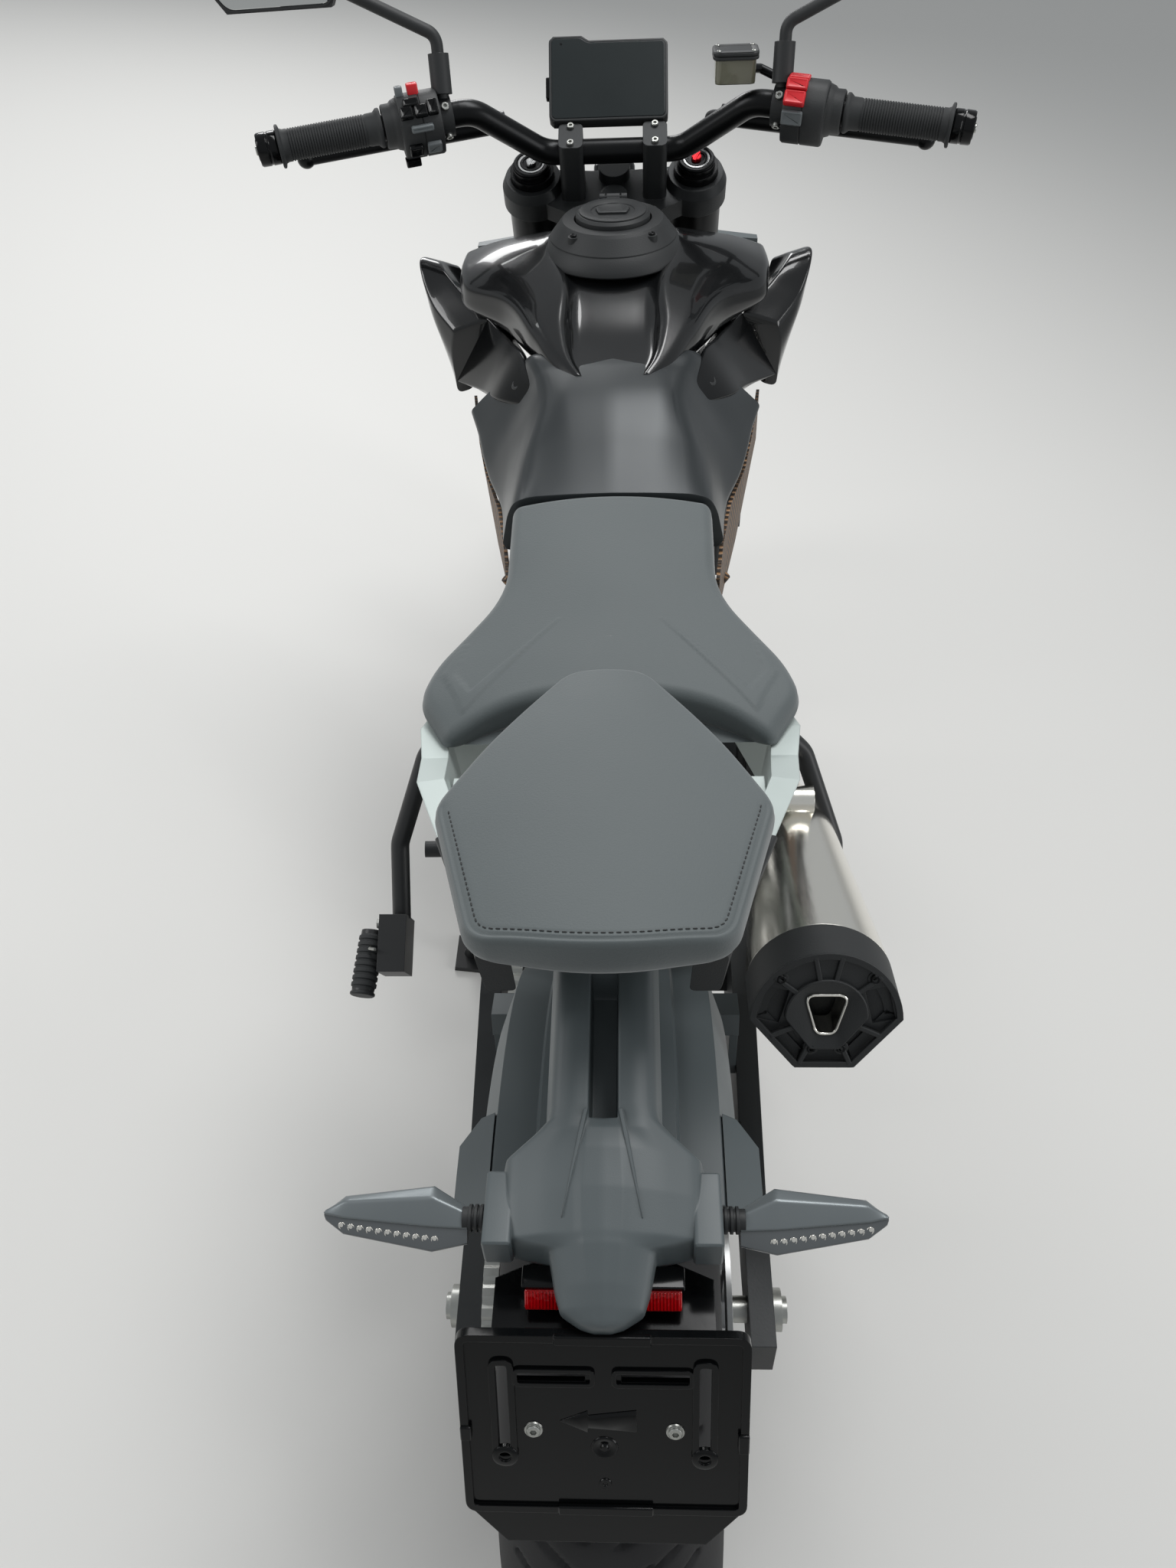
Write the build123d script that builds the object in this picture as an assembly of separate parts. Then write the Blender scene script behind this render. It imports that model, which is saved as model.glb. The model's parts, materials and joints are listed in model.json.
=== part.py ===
from build123d import *
from functools import cache
from math import asin, atan2, cos, pi, radians, sin
import os

# A naked standard motorcycle, parked on its side stand.
# Everything is drawn upright first: +Y runs forward, +X to the rider's right, +Z up,
# with the rear axle over y = 0 and the ground at z = 0. At the end the whole machine
# leans onto its stand. Lengths are millimetres and angles are degrees.

# Stance
wheelbase = 1476
rake = 24.2
fork_offset = 32
park_lean = 10

# Wheels and tyres
front_tyre_radius = 300
front_tyre_width = 120
front_crown_radius = 62
rear_tyre_radius = 315
rear_tyre_width = 180
rear_crown_radius = 91
tyre_wall = 9
bead_radius = 216
flange_radius = 223
flange_thickness = 6
front_rim_width = 89
rear_rim_width = 140
rim_wall = 5
well_depth = 20
spoke_count = 5
spoke_spread = 17
spoke_thickness = 24
spoke_width = 15
hub_radius = 36

# Brakes
front_disc_radius = 150
rear_disc_radius = 120
disc_band = 32
disc_thickness = 5
front_disc_place = 72
rear_disc_place = 104

# Fork and steering head
fork_spacing = 210
fork_outer_radius = 28
fork_inner_radius = 21.5
fork_cap_radius = 24
collar_radius = 34
collar_low = 640
fork_outer_low = 262
fork_top = 778
lower_clamp_low = 518
lower_clamp_height = 34
upper_clamp_low = 732
upper_clamp_height = 24
head_tube_radius = 32
head_tube_low = 560
head_tube_high = 724
stem_radius = 16

# Handlebar, in the steering head's own axes: across, forward, and up the head
bar_radius = 14.3
bar_wall = 3
bar_tip = (398, -60, 897)
bar_shoulder = (166, 4, 886)
bar_foot = (84, 20, 812)
grip_radius = 17
grip_length = 128
lever_offset = (0, 38, -52)
lever_radius = 8
hose_radius = 5
grip_start = 9
grip_end = 132
riser_place = 52
riser_width = 30
riser_depth = 42
reservoir_place = (144, 24, 914)
mirror_centre = (372, 56, 1034)
display_width = 146
display_height = 104
display_centre = (-5, 89, 858)
display_normal = (0, -0.374, 0.924)

# Tank
cap_y = 1022
lid_base = 986.5
lid_radius = 45
lid_height = 15
neck_radius = 53
ring_radius = 77
ring_base = 971
ring_top = 994
lid_pin_radius = 2
cover_floor = 876
seam = 1

# Final drive
chain_pitch = 15.875
sprocket_teeth = 44
sprocket_radius = 112
tooth_depth = 7.5
front_sprocket_radius = 41
front_sprocket_place = (675, 400)
chain_place = -110
chain_width = 14
chain_height = 15
chain_waist = 10.5
sprocket_thickness = 6

# Swingarm
pivot_y = 590
pivot_z = 395
arm_inner = 128
arm_outer = 152
pivot_tube_radius = 24
axle_radius = 12.5
front_axle_radius = 12.5
frame_tube = 15
plate_thickness = 12

# Tail
hugger_half = 101
hugger_gap = 14
board_width = 194
board_height = 155
board_thickness = 6
board_reach = 58
board_rise = 57.6
board_lean = 64.7
arm_end = 81

# Silencer
silencer_length = 270
cap_length = 50
silencer_mouth = (66, 54, 56, 26)
cap_rise = 25

# Engine
case_half = 128

# Fits
fit_gap = 0.3
running_gap = 1.5
bearing_gap = 0.5
body_gap = 4


# Shared places worked out from the driving dimensions
up_head = Vector(0, -sin(radians(rake)), cos(radians(rake)))
front_axle = Vector(0, wheelbase, front_tyre_radius)
rear_axle = Vector(0, 0, rear_tyre_radius)
head_foot = Vector(
    0,
    wheelbase - fork_offset * cos(radians(rake)),
    front_tyre_radius - fork_offset * sin(radians(rake)),
)
head = Plane(origin=head_foot, x_dir=(1, 0, 0), z_dir=up_head).location
leg_x = fork_spacing / 2
silencer_start = Vector(192, 436, 556)
silencer_axis = Vector(-0.016, -0.964, 0.264).normalized()
sink = rear_crown_radius * (1 - cos(radians(park_lean)))


# Height of the leaning machine's ground at a distance across it
def ground_at(x):
    return (-sink - x * sin(radians(park_lean))) / cos(radians(park_lean))


lid_hinge = Vector(0, 1074, 1000)
radiator_plane = Plane(origin=(0, 1154, 584), x_dir=(1, 0, 0), z_dir=(0, -0.2, 0.98))
stand_axis = Vector(-0.952, 0, 0.305)
stand_half = 10
stand_pin_radius = 5
stand_pivot = Vector(-146, 612, 264)
stand_foot = Vector(-236, 640, ground_at(-236))
low = (Align.CENTER, Align.CENTER, Align.MIN)


# A round bar between two points
def rod(start, end, radius):
    start, end = Vector(*start), Vector(*end)
    span = end - start
    return Plane(origin=start, z_dir=span).location * Cylinder(radius, span.length, align=low)


# A bent round bar: straight runs joined by tangent arcs, solid or with a wall
def bent(points, bend, radius, wall=0):
    path = FilletPolyline(*points, radius=bend)
    mouth = Plane(origin=path @ 0, z_dir=path % 0)
    ring = Circle(radius) - Circle(radius - wall) if wall else Circle(radius)
    return sweep(mouth * ring, path=path)


# A flat plate cut from a side outline of (y, z) points and lying between two x values
def side_plate(outline, inner, outer):
    face = make_face(Polyline(*outline, close=True))
    return Pos(min(inner, outer), 0, 0) * extrude(Plane.YZ * face, abs(outer - inner))


# A cross section at one y, symmetric about the middle, from its right half
def station(y, half):
    left = [(-x, z) for x, z in reversed(half) if x > 0]
    return Plane.XZ.offset(-y) * make_face(Polyline(*half, *left, close=True))


# A cross section at one y with its own full outline of (x, z) points
def slice_at(y, outline):
    return Plane.XZ.offset(-y) * make_face(Polyline(*outline, close=True))


# A cushion's cross section: flat below, straight sides, crowned on top
def cushion_station(y, half_width, base, edge, crown):
    outline = Polyline((-half_width, edge), (-half_width, base), (half_width, base), (half_width, edge))
    top = ThreePointArc((half_width, edge), (0, crown), (-half_width, edge))
    return Plane.XZ.offset(-y) * make_face([*outline.edges(), *top.edges()])


def mirrored(shape):
    return mirror(shape, about=Plane.YZ)


def pair(shape):
    return [shape, mirrored(shape)]


# Wheels: everything turned about the axle, then moved to it


def turned(outline, arc=360):
    face = make_face(Polyline(*outline, close=True))
    return revolve(Plane.XZ * face, axis=Axis.X, revolution_arc=arc)


def tyre(radius, width, crown, rim_width):
    shoulder = width / 2 - 1
    drop = crown - (crown**2 - shoulder**2) ** 0.5
    shoulder_radius = radius - drop
    bead = rim_width / 2 - fit_gap
    seat = bead_radius + fit_gap
    over_flange = flange_radius + 2
    belly = (over_flange + shoulder_radius) / 2
    tread = ThreePointArc((-shoulder, shoulder_radius), (0, radius), (shoulder, shoulder_radius))
    right = ThreePointArc((shoulder, shoulder_radius), (shoulder - 5, belly), (bead, over_flange))
    left = ThreePointArc((-shoulder, shoulder_radius), (5 - shoulder, belly), (-bead, over_flange))
    core = Polyline(
        (bead, over_flange),
        (bead, seat),
        (bead - tyre_wall, seat),
        (shoulder - 1.6 * tyre_wall, shoulder_radius - tyre_wall),
        (shoulder / 2, radius - 2 * tyre_wall),
        (-shoulder / 2, radius - 2 * tyre_wall),
        (1.6 * tyre_wall - shoulder, shoulder_radius - tyre_wall),
        (tyre_wall - bead, seat),
        (-bead, seat),
        (-bead, over_flange),
    )
    face = make_face([*tread.edges(), *right.edges(), *left.edges(), *core.edges()])
    return revolve(Plane.XZ * face, axis=Axis.X)


def rim(rim_width, bore, hub_left, hub_right):
    half = rim_width / 2
    lip = half + flange_thickness
    well = bead_radius - well_depth
    barrel = turned(
        [
            (-lip, flange_radius),
            (-half, flange_radius),
            (-half, bead_radius),
            (8 - half, bead_radius),
            (18 - half, well),
            (half - 18, well),
            (half - 8, bead_radius),
            (half, bead_radius),
            (half, flange_radius),
            (lip, flange_radius),
            (lip, bead_radius - rim_wall),
            (half - 14, well - rim_wall),
            (14 - half, well - rim_wall),
            (-lip, bead_radius - rim_wall),
        ]
    )
    wheel = barrel + rod((-hub_left, 0, 0), (hub_right, 0, 0), hub_radius)
    reach = well - rim_wall / 2
    for turn in range(spoke_count):
        for lean in (-spoke_spread, spoke_spread):
            angle = 360 / spoke_count * turn
            foot = Vector(0, 0, hub_radius - 6).rotate(Axis.X, angle + lean / 2)
            tip = Vector(0, 0, reach).rotate(Axis.X, angle + lean)
            span = tip - foot
            arm = Box(spoke_thickness, spoke_width, span.length, align=low)
            wheel += Plane(origin=foot, x_dir=(1, 0, 0), z_dir=span).location * arm
    return wheel - rod((-2 * hub_left, 0, 0), (2 * hub_right, 0, 0), bore)


def brake_disc(radius, bore, place):
    band = Rot(0, 90, 0) * (Cylinder(radius, disc_thickness) - Cylinder(radius - disc_band, 2 * disc_thickness))
    inner = radius - disc_band
    carrier = Rot(0, 90, 0) * (Cylinder(bore + 14, disc_thickness) - Cylinder(bore, 2 * disc_thickness))
    for turn in range(6):
        arm = Box(disc_thickness, 14, inner - bore - 4, align=low)
        carrier += Rot(360 / 6 * turn, 0, 0) * Pos(0, 0, bore + 7) * arm
    return Pos(place, 0, 0) * (band + carrier)


def front_tyre():
    return tyre(front_tyre_radius, front_tyre_width, front_crown_radius, front_rim_width).move(Location(front_axle))


def front_rim():
    hub = front_disc_place - disc_thickness / 2 - fit_gap
    return rim(front_rim_width, front_axle_radius + bearing_gap, hub, hub).move(Location(front_axle))


def front_discs():
    bore = front_axle_radius + 10
    disc = brake_disc(front_disc_radius, bore, front_disc_place).move(Location(front_axle))
    return pair(disc)


def rear_tyre():
    return tyre(rear_tyre_radius, rear_tyre_width, rear_crown_radius, rear_rim_width).move(Location(rear_axle))


def rear_rim():
    hub_left = -chain_place - sprocket_thickness / 2 - fit_gap
    hub_right = rear_disc_place - disc_thickness / 2 - fit_gap
    return rim(rear_rim_width, axle_radius + bearing_gap, hub_left, hub_right).move(Location(rear_axle))


def rear_disc():
    return brake_disc(rear_disc_radius, axle_radius + 10, rear_disc_place).move(Location(rear_axle))


def rear_sprocket():
    # share of one tooth, radius
    profile = [(-0.22, sprocket_radius - tooth_depth), (0.22, sprocket_radius - tooth_depth),
               (0.4, sprocket_radius), (0.6, sprocket_radius)]
    outline = []
    for tooth in range(sprocket_teeth):
        for share, reach in profile:
            turn = radians(360 / sprocket_teeth * (tooth + share))
            outline.append((reach * cos(turn), reach * sin(turn)))
    plate = extrude(make_face(Polyline(*outline, close=True)), sprocket_thickness / 2, both=True)
    plate -= Cylinder(axle_radius + 10, 2 * sprocket_thickness)
    window = Cylinder(20, 2 * sprocket_thickness)
    for turn in range(5):
        plate -= Rot(0, 0, 72 * turn) * Pos(68, 0, 0) * window
    return (Pos(chain_place, 0, 0) * Rot(0, 90, 0) * plate).move(Location(rear_axle))


# Front end


def fork_clamps():
    lower = Pos(0, 0, lower_clamp_low) * clamp_plate(lower_clamp_height)
    upper = Pos(0, 0, upper_clamp_low) * clamp_plate(upper_clamp_height)
    stem = Pos(0, 0, lower_clamp_low) * Cylinder(stem_radius, upper_clamp_low - lower_clamp_low, align=low)
    body = lower + upper + stem
    top = upper_clamp_low + upper_clamp_height
    cup = Cone(fork_outer_radius + 12, fork_outer_radius + 7, 12, align=low) - Cylinder(fork_outer_radius + fit_gap, 40)
    for piece in pair(Pos(leg_x, fork_offset, top) * cup):
        body += piece
    body += Pos(0, 0, top) * Cylinder(17, 9, align=low)
    body += Pos(0, 43, top) * Cylinder(20, 15, align=low)
    tower = Box(riser_width, riser_depth, bar_foot[2] - top + bar_radius + 10, align=low)
    tower = fillet(tower.edges().filter_by(Axis.Z), 8)
    for x in (-riser_place, riser_place):
        body += Pos(x, bar_foot[1], top - 1) * tower
    bar_hole = Pos(0, bar_foot[1], bar_foot[2]) * Rot(0, 90, 0) * Cylinder(bar_radius + fit_gap, 200)
    return head * (body - bar_hole)


def clamp_plate(height):
    leg = fork_outer_radius + 12
    outline = Pos(-leg_x, fork_offset) * Circle(leg) + Pos(leg_x, fork_offset) * Circle(leg)
    middle = Polyline((-leg_x, fork_offset + 26), (-30, 52), (30, 52), (leg_x, fork_offset + 26),
                      (leg_x, fork_offset - 26), (34, -34), (-34, -34), (-leg_x, fork_offset - 26), close=True)
    plate = extrude(outline + make_face(middle), height)
    hole = Cylinder(fork_outer_radius + fit_gap, 3 * height)
    return plate - Pos(-leg_x, fork_offset, 0) * hole - Pos(leg_x, fork_offset, 0) * hole


def fork_outers():
    length = fork_top - fork_outer_low
    leg = Pos(leg_x, fork_offset, fork_outer_low) * Cylinder(fork_outer_radius, length, align=low)
    cap = Pos(leg_x, fork_offset, fork_top) * Cylinder(fork_cap_radius, 7, align=low)
    nose = Pos(leg_x, fork_offset, fork_outer_low - 8) * Cylinder(fork_outer_radius - 3, 9, align=low)
    bore = Pos(leg_x, fork_offset, fork_outer_low - 20) * Cylinder(fork_inner_radius + fit_gap, 190, align=low)
    collar = Pos(leg_x, fork_offset, collar_low) * Cylinder(collar_radius, upper_clamp_low - collar_low - fit_gap, align=low)
    return [head * piece for piece in pair(leg + cap + nose + collar - bore)]


def fork_sliders():
    tube = Pos(leg_x, fork_offset, 20) * Cylinder(fork_inner_radius, fork_outer_low + 120, align=low)
    lug = Pos(leg_x, fork_offset, -28) * Cylinder(26, 90, align=low)
    boss = Pos(leg_x, fork_offset, 0) * Rot(0, 90, 0) * Cylinder(27, 44)
    ear = Pos(leg_x, fork_offset - 40, 66) * Box(16, 70, 60)
    bore = Pos(0, fork_offset, 0) * Rot(0, 90, 0) * Cylinder(front_axle_radius + fit_gap, 400)
    return [head * piece for piece in pair(tube + lug + boss + ear - bore)]


def front_axle_pin():
    pin = Rot(0, 90, 0) * (Cylinder(front_axle_radius, 2 * leg_x + 60) - Cylinder(7, 400))
    head_end = Pos(leg_x + 31, 0, 0) * Rot(0, 90, 0) * (Cylinder(19, 7) - Cylinder(7, 20))
    return (pin + head_end).move(Location(front_axle))


def front_calipers():
    back = fork_offset - 75 - fit_gap
    block = Pos(80, back - 31, 84) * Box(60, 62, 96)
    slot = Pos(front_disc_place, fork_offset, 0) * Rot(0, 90, 0)
    slot = slot * Cylinder(front_disc_radius + body_gap, disc_thickness + 2 * running_gap + 4)
    return [head * piece for piece in pair(block - slot)]


def handlebar():
    right = [bar_foot, bar_shoulder, bar_tip]
    left = [(-x, n, s) for x, n, s in reversed(right)]
    return head * bent([*left, *right], 42, bar_radius, bar_wall)


def along_bar(distance):
    tip, shoulder = Vector(*bar_tip), Vector(*bar_shoulder)
    return tip + (shoulder - tip).normalized() * distance


# Axes on the bar: x outward along it, y forward, z up
def on_bar(distance):
    outward = (Vector(*bar_tip) - Vector(*bar_shoulder)).normalized()
    upward = (Vector(0, 0, 1) - outward * outward.Z).normalized()
    return Plane(origin=along_bar(distance), x_dir=outward, z_dir=upward).location


def grips():
    grip = rod(along_bar(grip_start), along_bar(grip_end), grip_radius)
    for along in (grip_start, grip_end - 5):
        grip += rod(along_bar(along), along_bar(along + 5), grip_radius + 4)
    weight = rod(along_bar(-16), along_bar(grip_start), grip_radius + 1)
    hole = rod(along_bar(-fit_gap), along_bar(300), bar_radius + fit_gap)
    return [head * piece for piece in pair(grip + weight - hole)]


def switchgear():
    start, end = grip_end + 3, grip_end + 48
    drum = rod(along_bar(start), along_bar(end), 25)
    shell = Box(end - start, 34, 58)
    shell = fillet(shell.edges().filter_by(Axis.X), 9)
    shell = on_bar((start + end) / 2) * Pos(0, -20, 3) * shell
    hole = rod(along_bar(60), along_bar(300), bar_radius + fit_gap)
    return [head * piece for piece in pair(drum + shell - hole)]


# The lever's knuckle, below and ahead of the bar
def lever_knuckle():
    return along_bar(grip_end + 58) + Vector(*lever_offset)


def inboard():
    return (Vector(*bar_shoulder) - Vector(*bar_tip)).normalized()


def levers():
    start, end = grip_end + 51, grip_end + 66
    clamp = rod(along_bar(start), along_bar(end), 22)
    arm = rod(along_bar(start + 3), lever_knuckle(), 7)
    hole = rod(along_bar(60), along_bar(300), bar_radius + fit_gap)
    bend = along_bar(grip_end - 20) + Vector(*lever_offset)
    finger = along_bar(22) + Vector(*lever_offset)
    blade = bent([lever_knuckle(), bend, finger + Vector(0, 5, -4)], 30, lever_radius)
    ball = Location(finger + Vector(0, 5, -4)) * Sphere(11)
    master = rod(lever_knuckle() - inboard() * 10, lever_knuckle() + inboard() * 84, 12)
    right = clamp + arm + blade + ball + master - hole
    cup = Box(46, 34, 26)
    cup = fillet(cup.edges().filter_by(Axis.Z), 7)
    lid = Box(52, 40, 8)
    lid = fillet(lid.edges().filter_by(Axis.Z), 9)
    level = Pos(*reservoir_place) * Rot(-rake, 0, 0)
    reservoir = level * (cup + Pos(0, 0, 16) * lid)
    root, elbow = along_bar(start + 5), Vector(176, 46, 896)
    stay = rod(root + Vector(0, 16, 0), root + Vector(0, 34, 2), 5) + rod(root + Vector(0, 32, 2), elbow, 5)
    stay += rod(elbow, reservoir_place, 5)
    return [head * (right + stay + reservoir), head * mirrored(right)]


def mirrors():
    start, end = grip_end + 68, grip_end + 84
    place = along_bar((start + end) / 2)
    clamp = rod(along_bar(start), along_bar(end), 22)
    hole = rod(along_bar(60), along_bar(300), bar_radius + fit_gap)
    kink, shoulder = Vector(199, 33, 960), Vector(316, 52, 1012)
    stem = bent([place + Vector(0, 4, 20), kink, shoulder, mirror_centre], 16, 7)
    boot = rod(place + Vector(0, 5, 24), kink + Vector(0, -6, -18), 12)
    outline = make_face(Polyline((-80, -14), (-66, -42), (58, -48), (86, -12), (68, 34), (-54, 32), close=True))
    face = Plane(origin=mirror_centre, x_dir=(1, 0, 0), z_dir=(0.12, -0.85, 0.4)).location
    shell = face * loft([Pos(0, 0, 8) * outline, Pos(0, 0, -4) * outline, Pos(0, 0, -20) * scale(outline, 0.6)],
                        ruled=True)
    return [head * piece for piece in pair(clamp + stem + boot + shell - hole)]


def display():
    tilt = Plane(origin=display_centre, x_dir=(1, 0, 0), z_dir=display_normal).location
    wide, tall, step = display_width / 2, display_height / 2, 6
    outline = make_face(Polyline((-wide + 5, -tall), (wide - 5, -tall), (wide, 5 - tall), (wide, tall - step - 5),
                                 (wide - 5, tall - step), (-24, tall - step), (-33, tall), (-wide + 5, tall),
                                 (-wide, tall - 5), (-wide, 5 - tall), close=True))
    body = tilt * (Pos(0, 0, -16) * extrude(outline, 16) - Pos(0, -step / 2, 0) * Box(2 * wide - 14, 2 * tall - 20, 3))
    front = bar_foot[1] + riser_depth / 2 + fit_gap
    for x in (-riser_place, riser_place):
        body += rod((x, front, 824), (x, front + 30, 824), 6)
    return head * body


# Front brake hoses: from the master cylinder down the right leg, with a crossover under the headlight
def brake_hoses():
    outlet = lever_knuckle() + inboard() * (84 + fit_gap)
    ahead, beside = (114, 79), (146, 40)
    top = [outlet, outlet + inboard() * 14, Vector(*ahead, 770), Vector(*ahead, 430)]
    lower = [Vector(*ahead, 520), Vector(*ahead, 430), Vector(*beside, 360), Vector(142, -10, 250),
             Vector(96, -76, 180), Vector(96, -76, 132 + fit_gap)]
    cross = [Vector(*ahead, 500), Vector(70, 84, 462), Vector(-70, 84, 462), Vector(-ahead[0], ahead[1], 500)]
    right = bent(lower, 16, hose_radius)
    hose = bent(top, 10, hose_radius) + right + mirrored(right) + bent(cross, 16, hose_radius)
    return head * hose


@cache
def headlight():
    face = head_foot.Y - 37
    # y, then (x, z) of: middle top, brow, temple, jaw, middle below
    stations = [
        (face - 106, (0, 905), (58, 905), (76, 860), (66, 790), (0, 780)),
        (face - 58, (0, 928), (66, 918), (96, 856), (78, 766), (0, 750)),
        (face, (0, 896), (46, 888), (80, 846), (58, 774), (0, 760)),
    ]
    body = loft([station(y, half) for y, *half in stations], ruled=True)
    lens = extrude(Plane.XZ.offset(4 - face) * make_face(Polyline((-60, 842), (-36, 874), (36, 874), (60, 842),
                                                                 (44, 784), (-44, 784), close=True)), -20)
    body -= lens
    for x in (-20, 20):
        body += head * rod((x, 52 + fit_gap, 536), (x, 100, 536), 8)
        body += head * bent([(x, 52 + fit_gap, 744), (x, 74, 744), (x, 132, 610)], 10, 7)
    return body


def front_indicators():
    middle = head_foot.Y - 97
    stalk = rod((60, middle, 850), (120, middle - 4, 850), 8)
    body = loft(
        [
            Plane.YZ.offset(118) * Pos(middle - 4, 850) * Rectangle(30, 26),
            Plane.YZ.offset(206) * Pos(middle - 16, 850) * Rectangle(16, 14),
        ],
        ruled=True,
    )
    return pair(body + stalk - headlight())


def front_mudguard():
    inner = front_tyre_radius + 14
    half = front_tyre_width / 2 + 8
    arch = turned(
        [
            (-half, inner - 26),
            (-half + 22, inner + 3),
            (half - 22, inner + 3),
            (half, inner - 26),
            (half + 3, inner - 24),
            (half - 20, inner + 7),
            (20 - half, inner + 7),
            (-half - 3, inner - 24),
        ],
        118,
    )
    arch = (Rot(-40, 0, 0) * arch).move(Location(front_axle))
    seat_x = leg_x - fork_inner_radius - fit_gap
    for side in (-1, 1):
        stay = Pos(side * (half + 3.5), fork_offset, 258) * Box(5, 30, 86)
        pad = Pos(side * (half + 1 + seat_x) / 2, fork_offset, 230) * Box(seat_x - half - 1, 16, 30)
        arch += head * (stay + pad)
    return arch


# Engine


@cache
def crankcase():
    outline = [(648, 330), (676, 244), (760, 215), (960, 215), (1046, 270), (1062, 372),
               (1016, 470), (900, 520), (760, 536), (668, 500), (640, 430)]
    case = side_plate(outline, -case_half, case_half)
    case += Pos(150, 800, 378) * Rot(0, 90, 0) * Cylinder(96, 46)
    case += Pos(174, 800, 378) * Rot(0, 90, 0) * Cone(78, 66, 14)
    case += Pos(146, 948, 396) * Rot(0, 90, 0) * Cylinder(58, 36)
    case += Pos(-148, 930, 388) * Rot(0, 90, 0) * Cylinder(86, 42)
    case += Pos(-172, 930, 388) * Rot(0, 90, 0) * Cone(52, 62, 12)
    case += Pos(-138, 700, 400) * Rot(0, 90, 0) * Cylinder(62, 22)
    case += rod((0, 1040, 304), (0, 1080, 304), 22)
    sump = side_plate([(740, 217), (760, 192), (930, 192), (960, 217)], -96, 96)
    chain_pocket = Pos(chain_place, 650, 402) * Box(chain_width + 10, 180, 142)
    sprocket = rod((chain_place - 4, *front_sprocket_place), (chain_place + 4, *front_sprocket_place),
                   front_sprocket_radius + running_gap - fit_gap)
    shaft = rod((chain_place - 12, *front_sprocket_place), (1 - case_half + 30, *front_sprocket_place), 14)
    return case + sump - chain_pocket + sprocket + shaft


@cache
def cylinder_head():
    tilt = Plane(origin=(0, 966, 492), x_dir=(1, 0, 0), z_dir=(0, 0.24, 0.97)).location
    barrel = Pos(0, 0, 12) * Box(226, 146, 92, align=low)
    top = Pos(0, 0, 104) * Box(246, 160, 84, align=low)
    lid = Pos(0, 0, 188) * Box(226, 142, 34, align=low)
    lid = chamfer(lid.edges().group_by(Axis.Z)[-1], 14)
    return tilt * (barrel + top + lid) - crankcase()


def radiator():
    core = Box(330, 30, 206)
    groove = Box(318, 8, 6)
    for row in range(13):
        core -= Pos(0, 15, (row - 6) * 15) * groove
    for x in (-176, 176):
        core += Pos(x, 0, 0) * Box(26, 40, 210)
    return radiator_plane.location * core


def exhaust_headers():
    pipes = None
    for x in (-54, 54):
        down = bent([(x, 1030, 580), (x, 1112, 556), (x * 0.8, 1106, 300), (x * 0.6, 1046, 190),
                     (x * 0.6, 900, 166), (x * 0.6, 740, 164)], 30, 18)
        pipes = down if pipes is None else pipes + down
    collector = Pos(0, 700, 166) * Box(150, 140, 42)
    tail = silencer_start - silencer_axis * fit_gap
    link = bent([(60, 650, 166), (130, 600, 172), (193, 525, 270), (193, 530, 480), tail - silencer_axis * 50, tail],
                30, 24)
    return pipes + collector + link - cylinder_head() - crankcase()


# Rear end


@cache
def swingarm():
    tube = rod((-arm_outer, pivot_y, pivot_z), (arm_outer, pivot_y, pivot_z), pivot_tube_radius)
    axle_z = rear_tyre_radius
    outline = [(pivot_y + 32, pivot_z - 34), (pivot_y + 34, pivot_z + 30), (470, 446), (300, 420),
               (60, axle_z + 37), (-46, axle_z + 29), (-46, axle_z - 29), (60, axle_z - 33),
               (330, 306), (500, 330)]
    arm = side_plate(outline, arm_inner, arm_outer)
    brace = side_plate([(352, 352), (376, 416), (470, 424), (480, 340), (420, 326)], -arm_inner, arm_inner)
    slot = Pos(arm_inner + 12, 0, axle_z) * Rot(0, 90, 0) * Cylinder(axle_radius + fit_gap, 60)
    body = tube + brace
    for piece in pair(arm - slot):
        body += piece
    return body - rod((-200, pivot_y, pivot_z), (200, pivot_y, pivot_z), 12)


def rear_axle_pin():
    pin = Rot(0, 90, 0) * (Cylinder(axle_radius, 2 * arm_outer + 30) - Cylinder(8, 400))
    nut = Rot(0, 90, 0) * (Cylinder(20, 9) - Cylinder(8, 20))
    ends = Pos(arm_outer + 5, 0, 0) * nut + Pos(-arm_outer - 5, 0, 0) * nut
    return (pin + ends).move(Location(rear_axle))


def rear_caliper():
    inner, outer = rear_disc_place - 24, arm_inner - fit_gap
    block = Pos((inner + outer) / 2, 106, 384) * Box(outer - inner, 84, 60)
    slot = Pos(rear_disc_place, 0, rear_tyre_radius) * Rot(0, 90, 0)
    return block - slot * Cylinder(rear_disc_radius + body_gap, disc_thickness + 2 * running_gap + 4)


def shock():
    foot, top = Vector(0, 424, 424), Vector(0, 562, 676)
    axis = top - foot
    body = rod(foot, top, 18) + rod(foot + axis * 0.2, foot + axis * 0.86, 33)
    return body - swingarm() - subframe()


# A loop of links: wide over each pin and waisted between pins
def chain():
    at, length = chain_run()
    links = round(length / chain_pitch)
    step = length / links
    edges = {1: [], -1: []}
    for link in range(links):
        for share, width in ((0.2, chain_height), (0.4, chain_waist), (0.6, chain_waist), (0.8, chain_height)):
            point, out = at((link + share) * step)
            for side, edge in edges.items():
                place = point + out * side * width / 2
                edge.append((place.X, place.Y))
    band = make_face(Polyline(*edges[1], close=True)) - make_face(Polyline(*edges[-1], close=True))
    return extrude(Plane.YZ.offset(chain_place - chain_width / 2) * band, chain_width)


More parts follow.
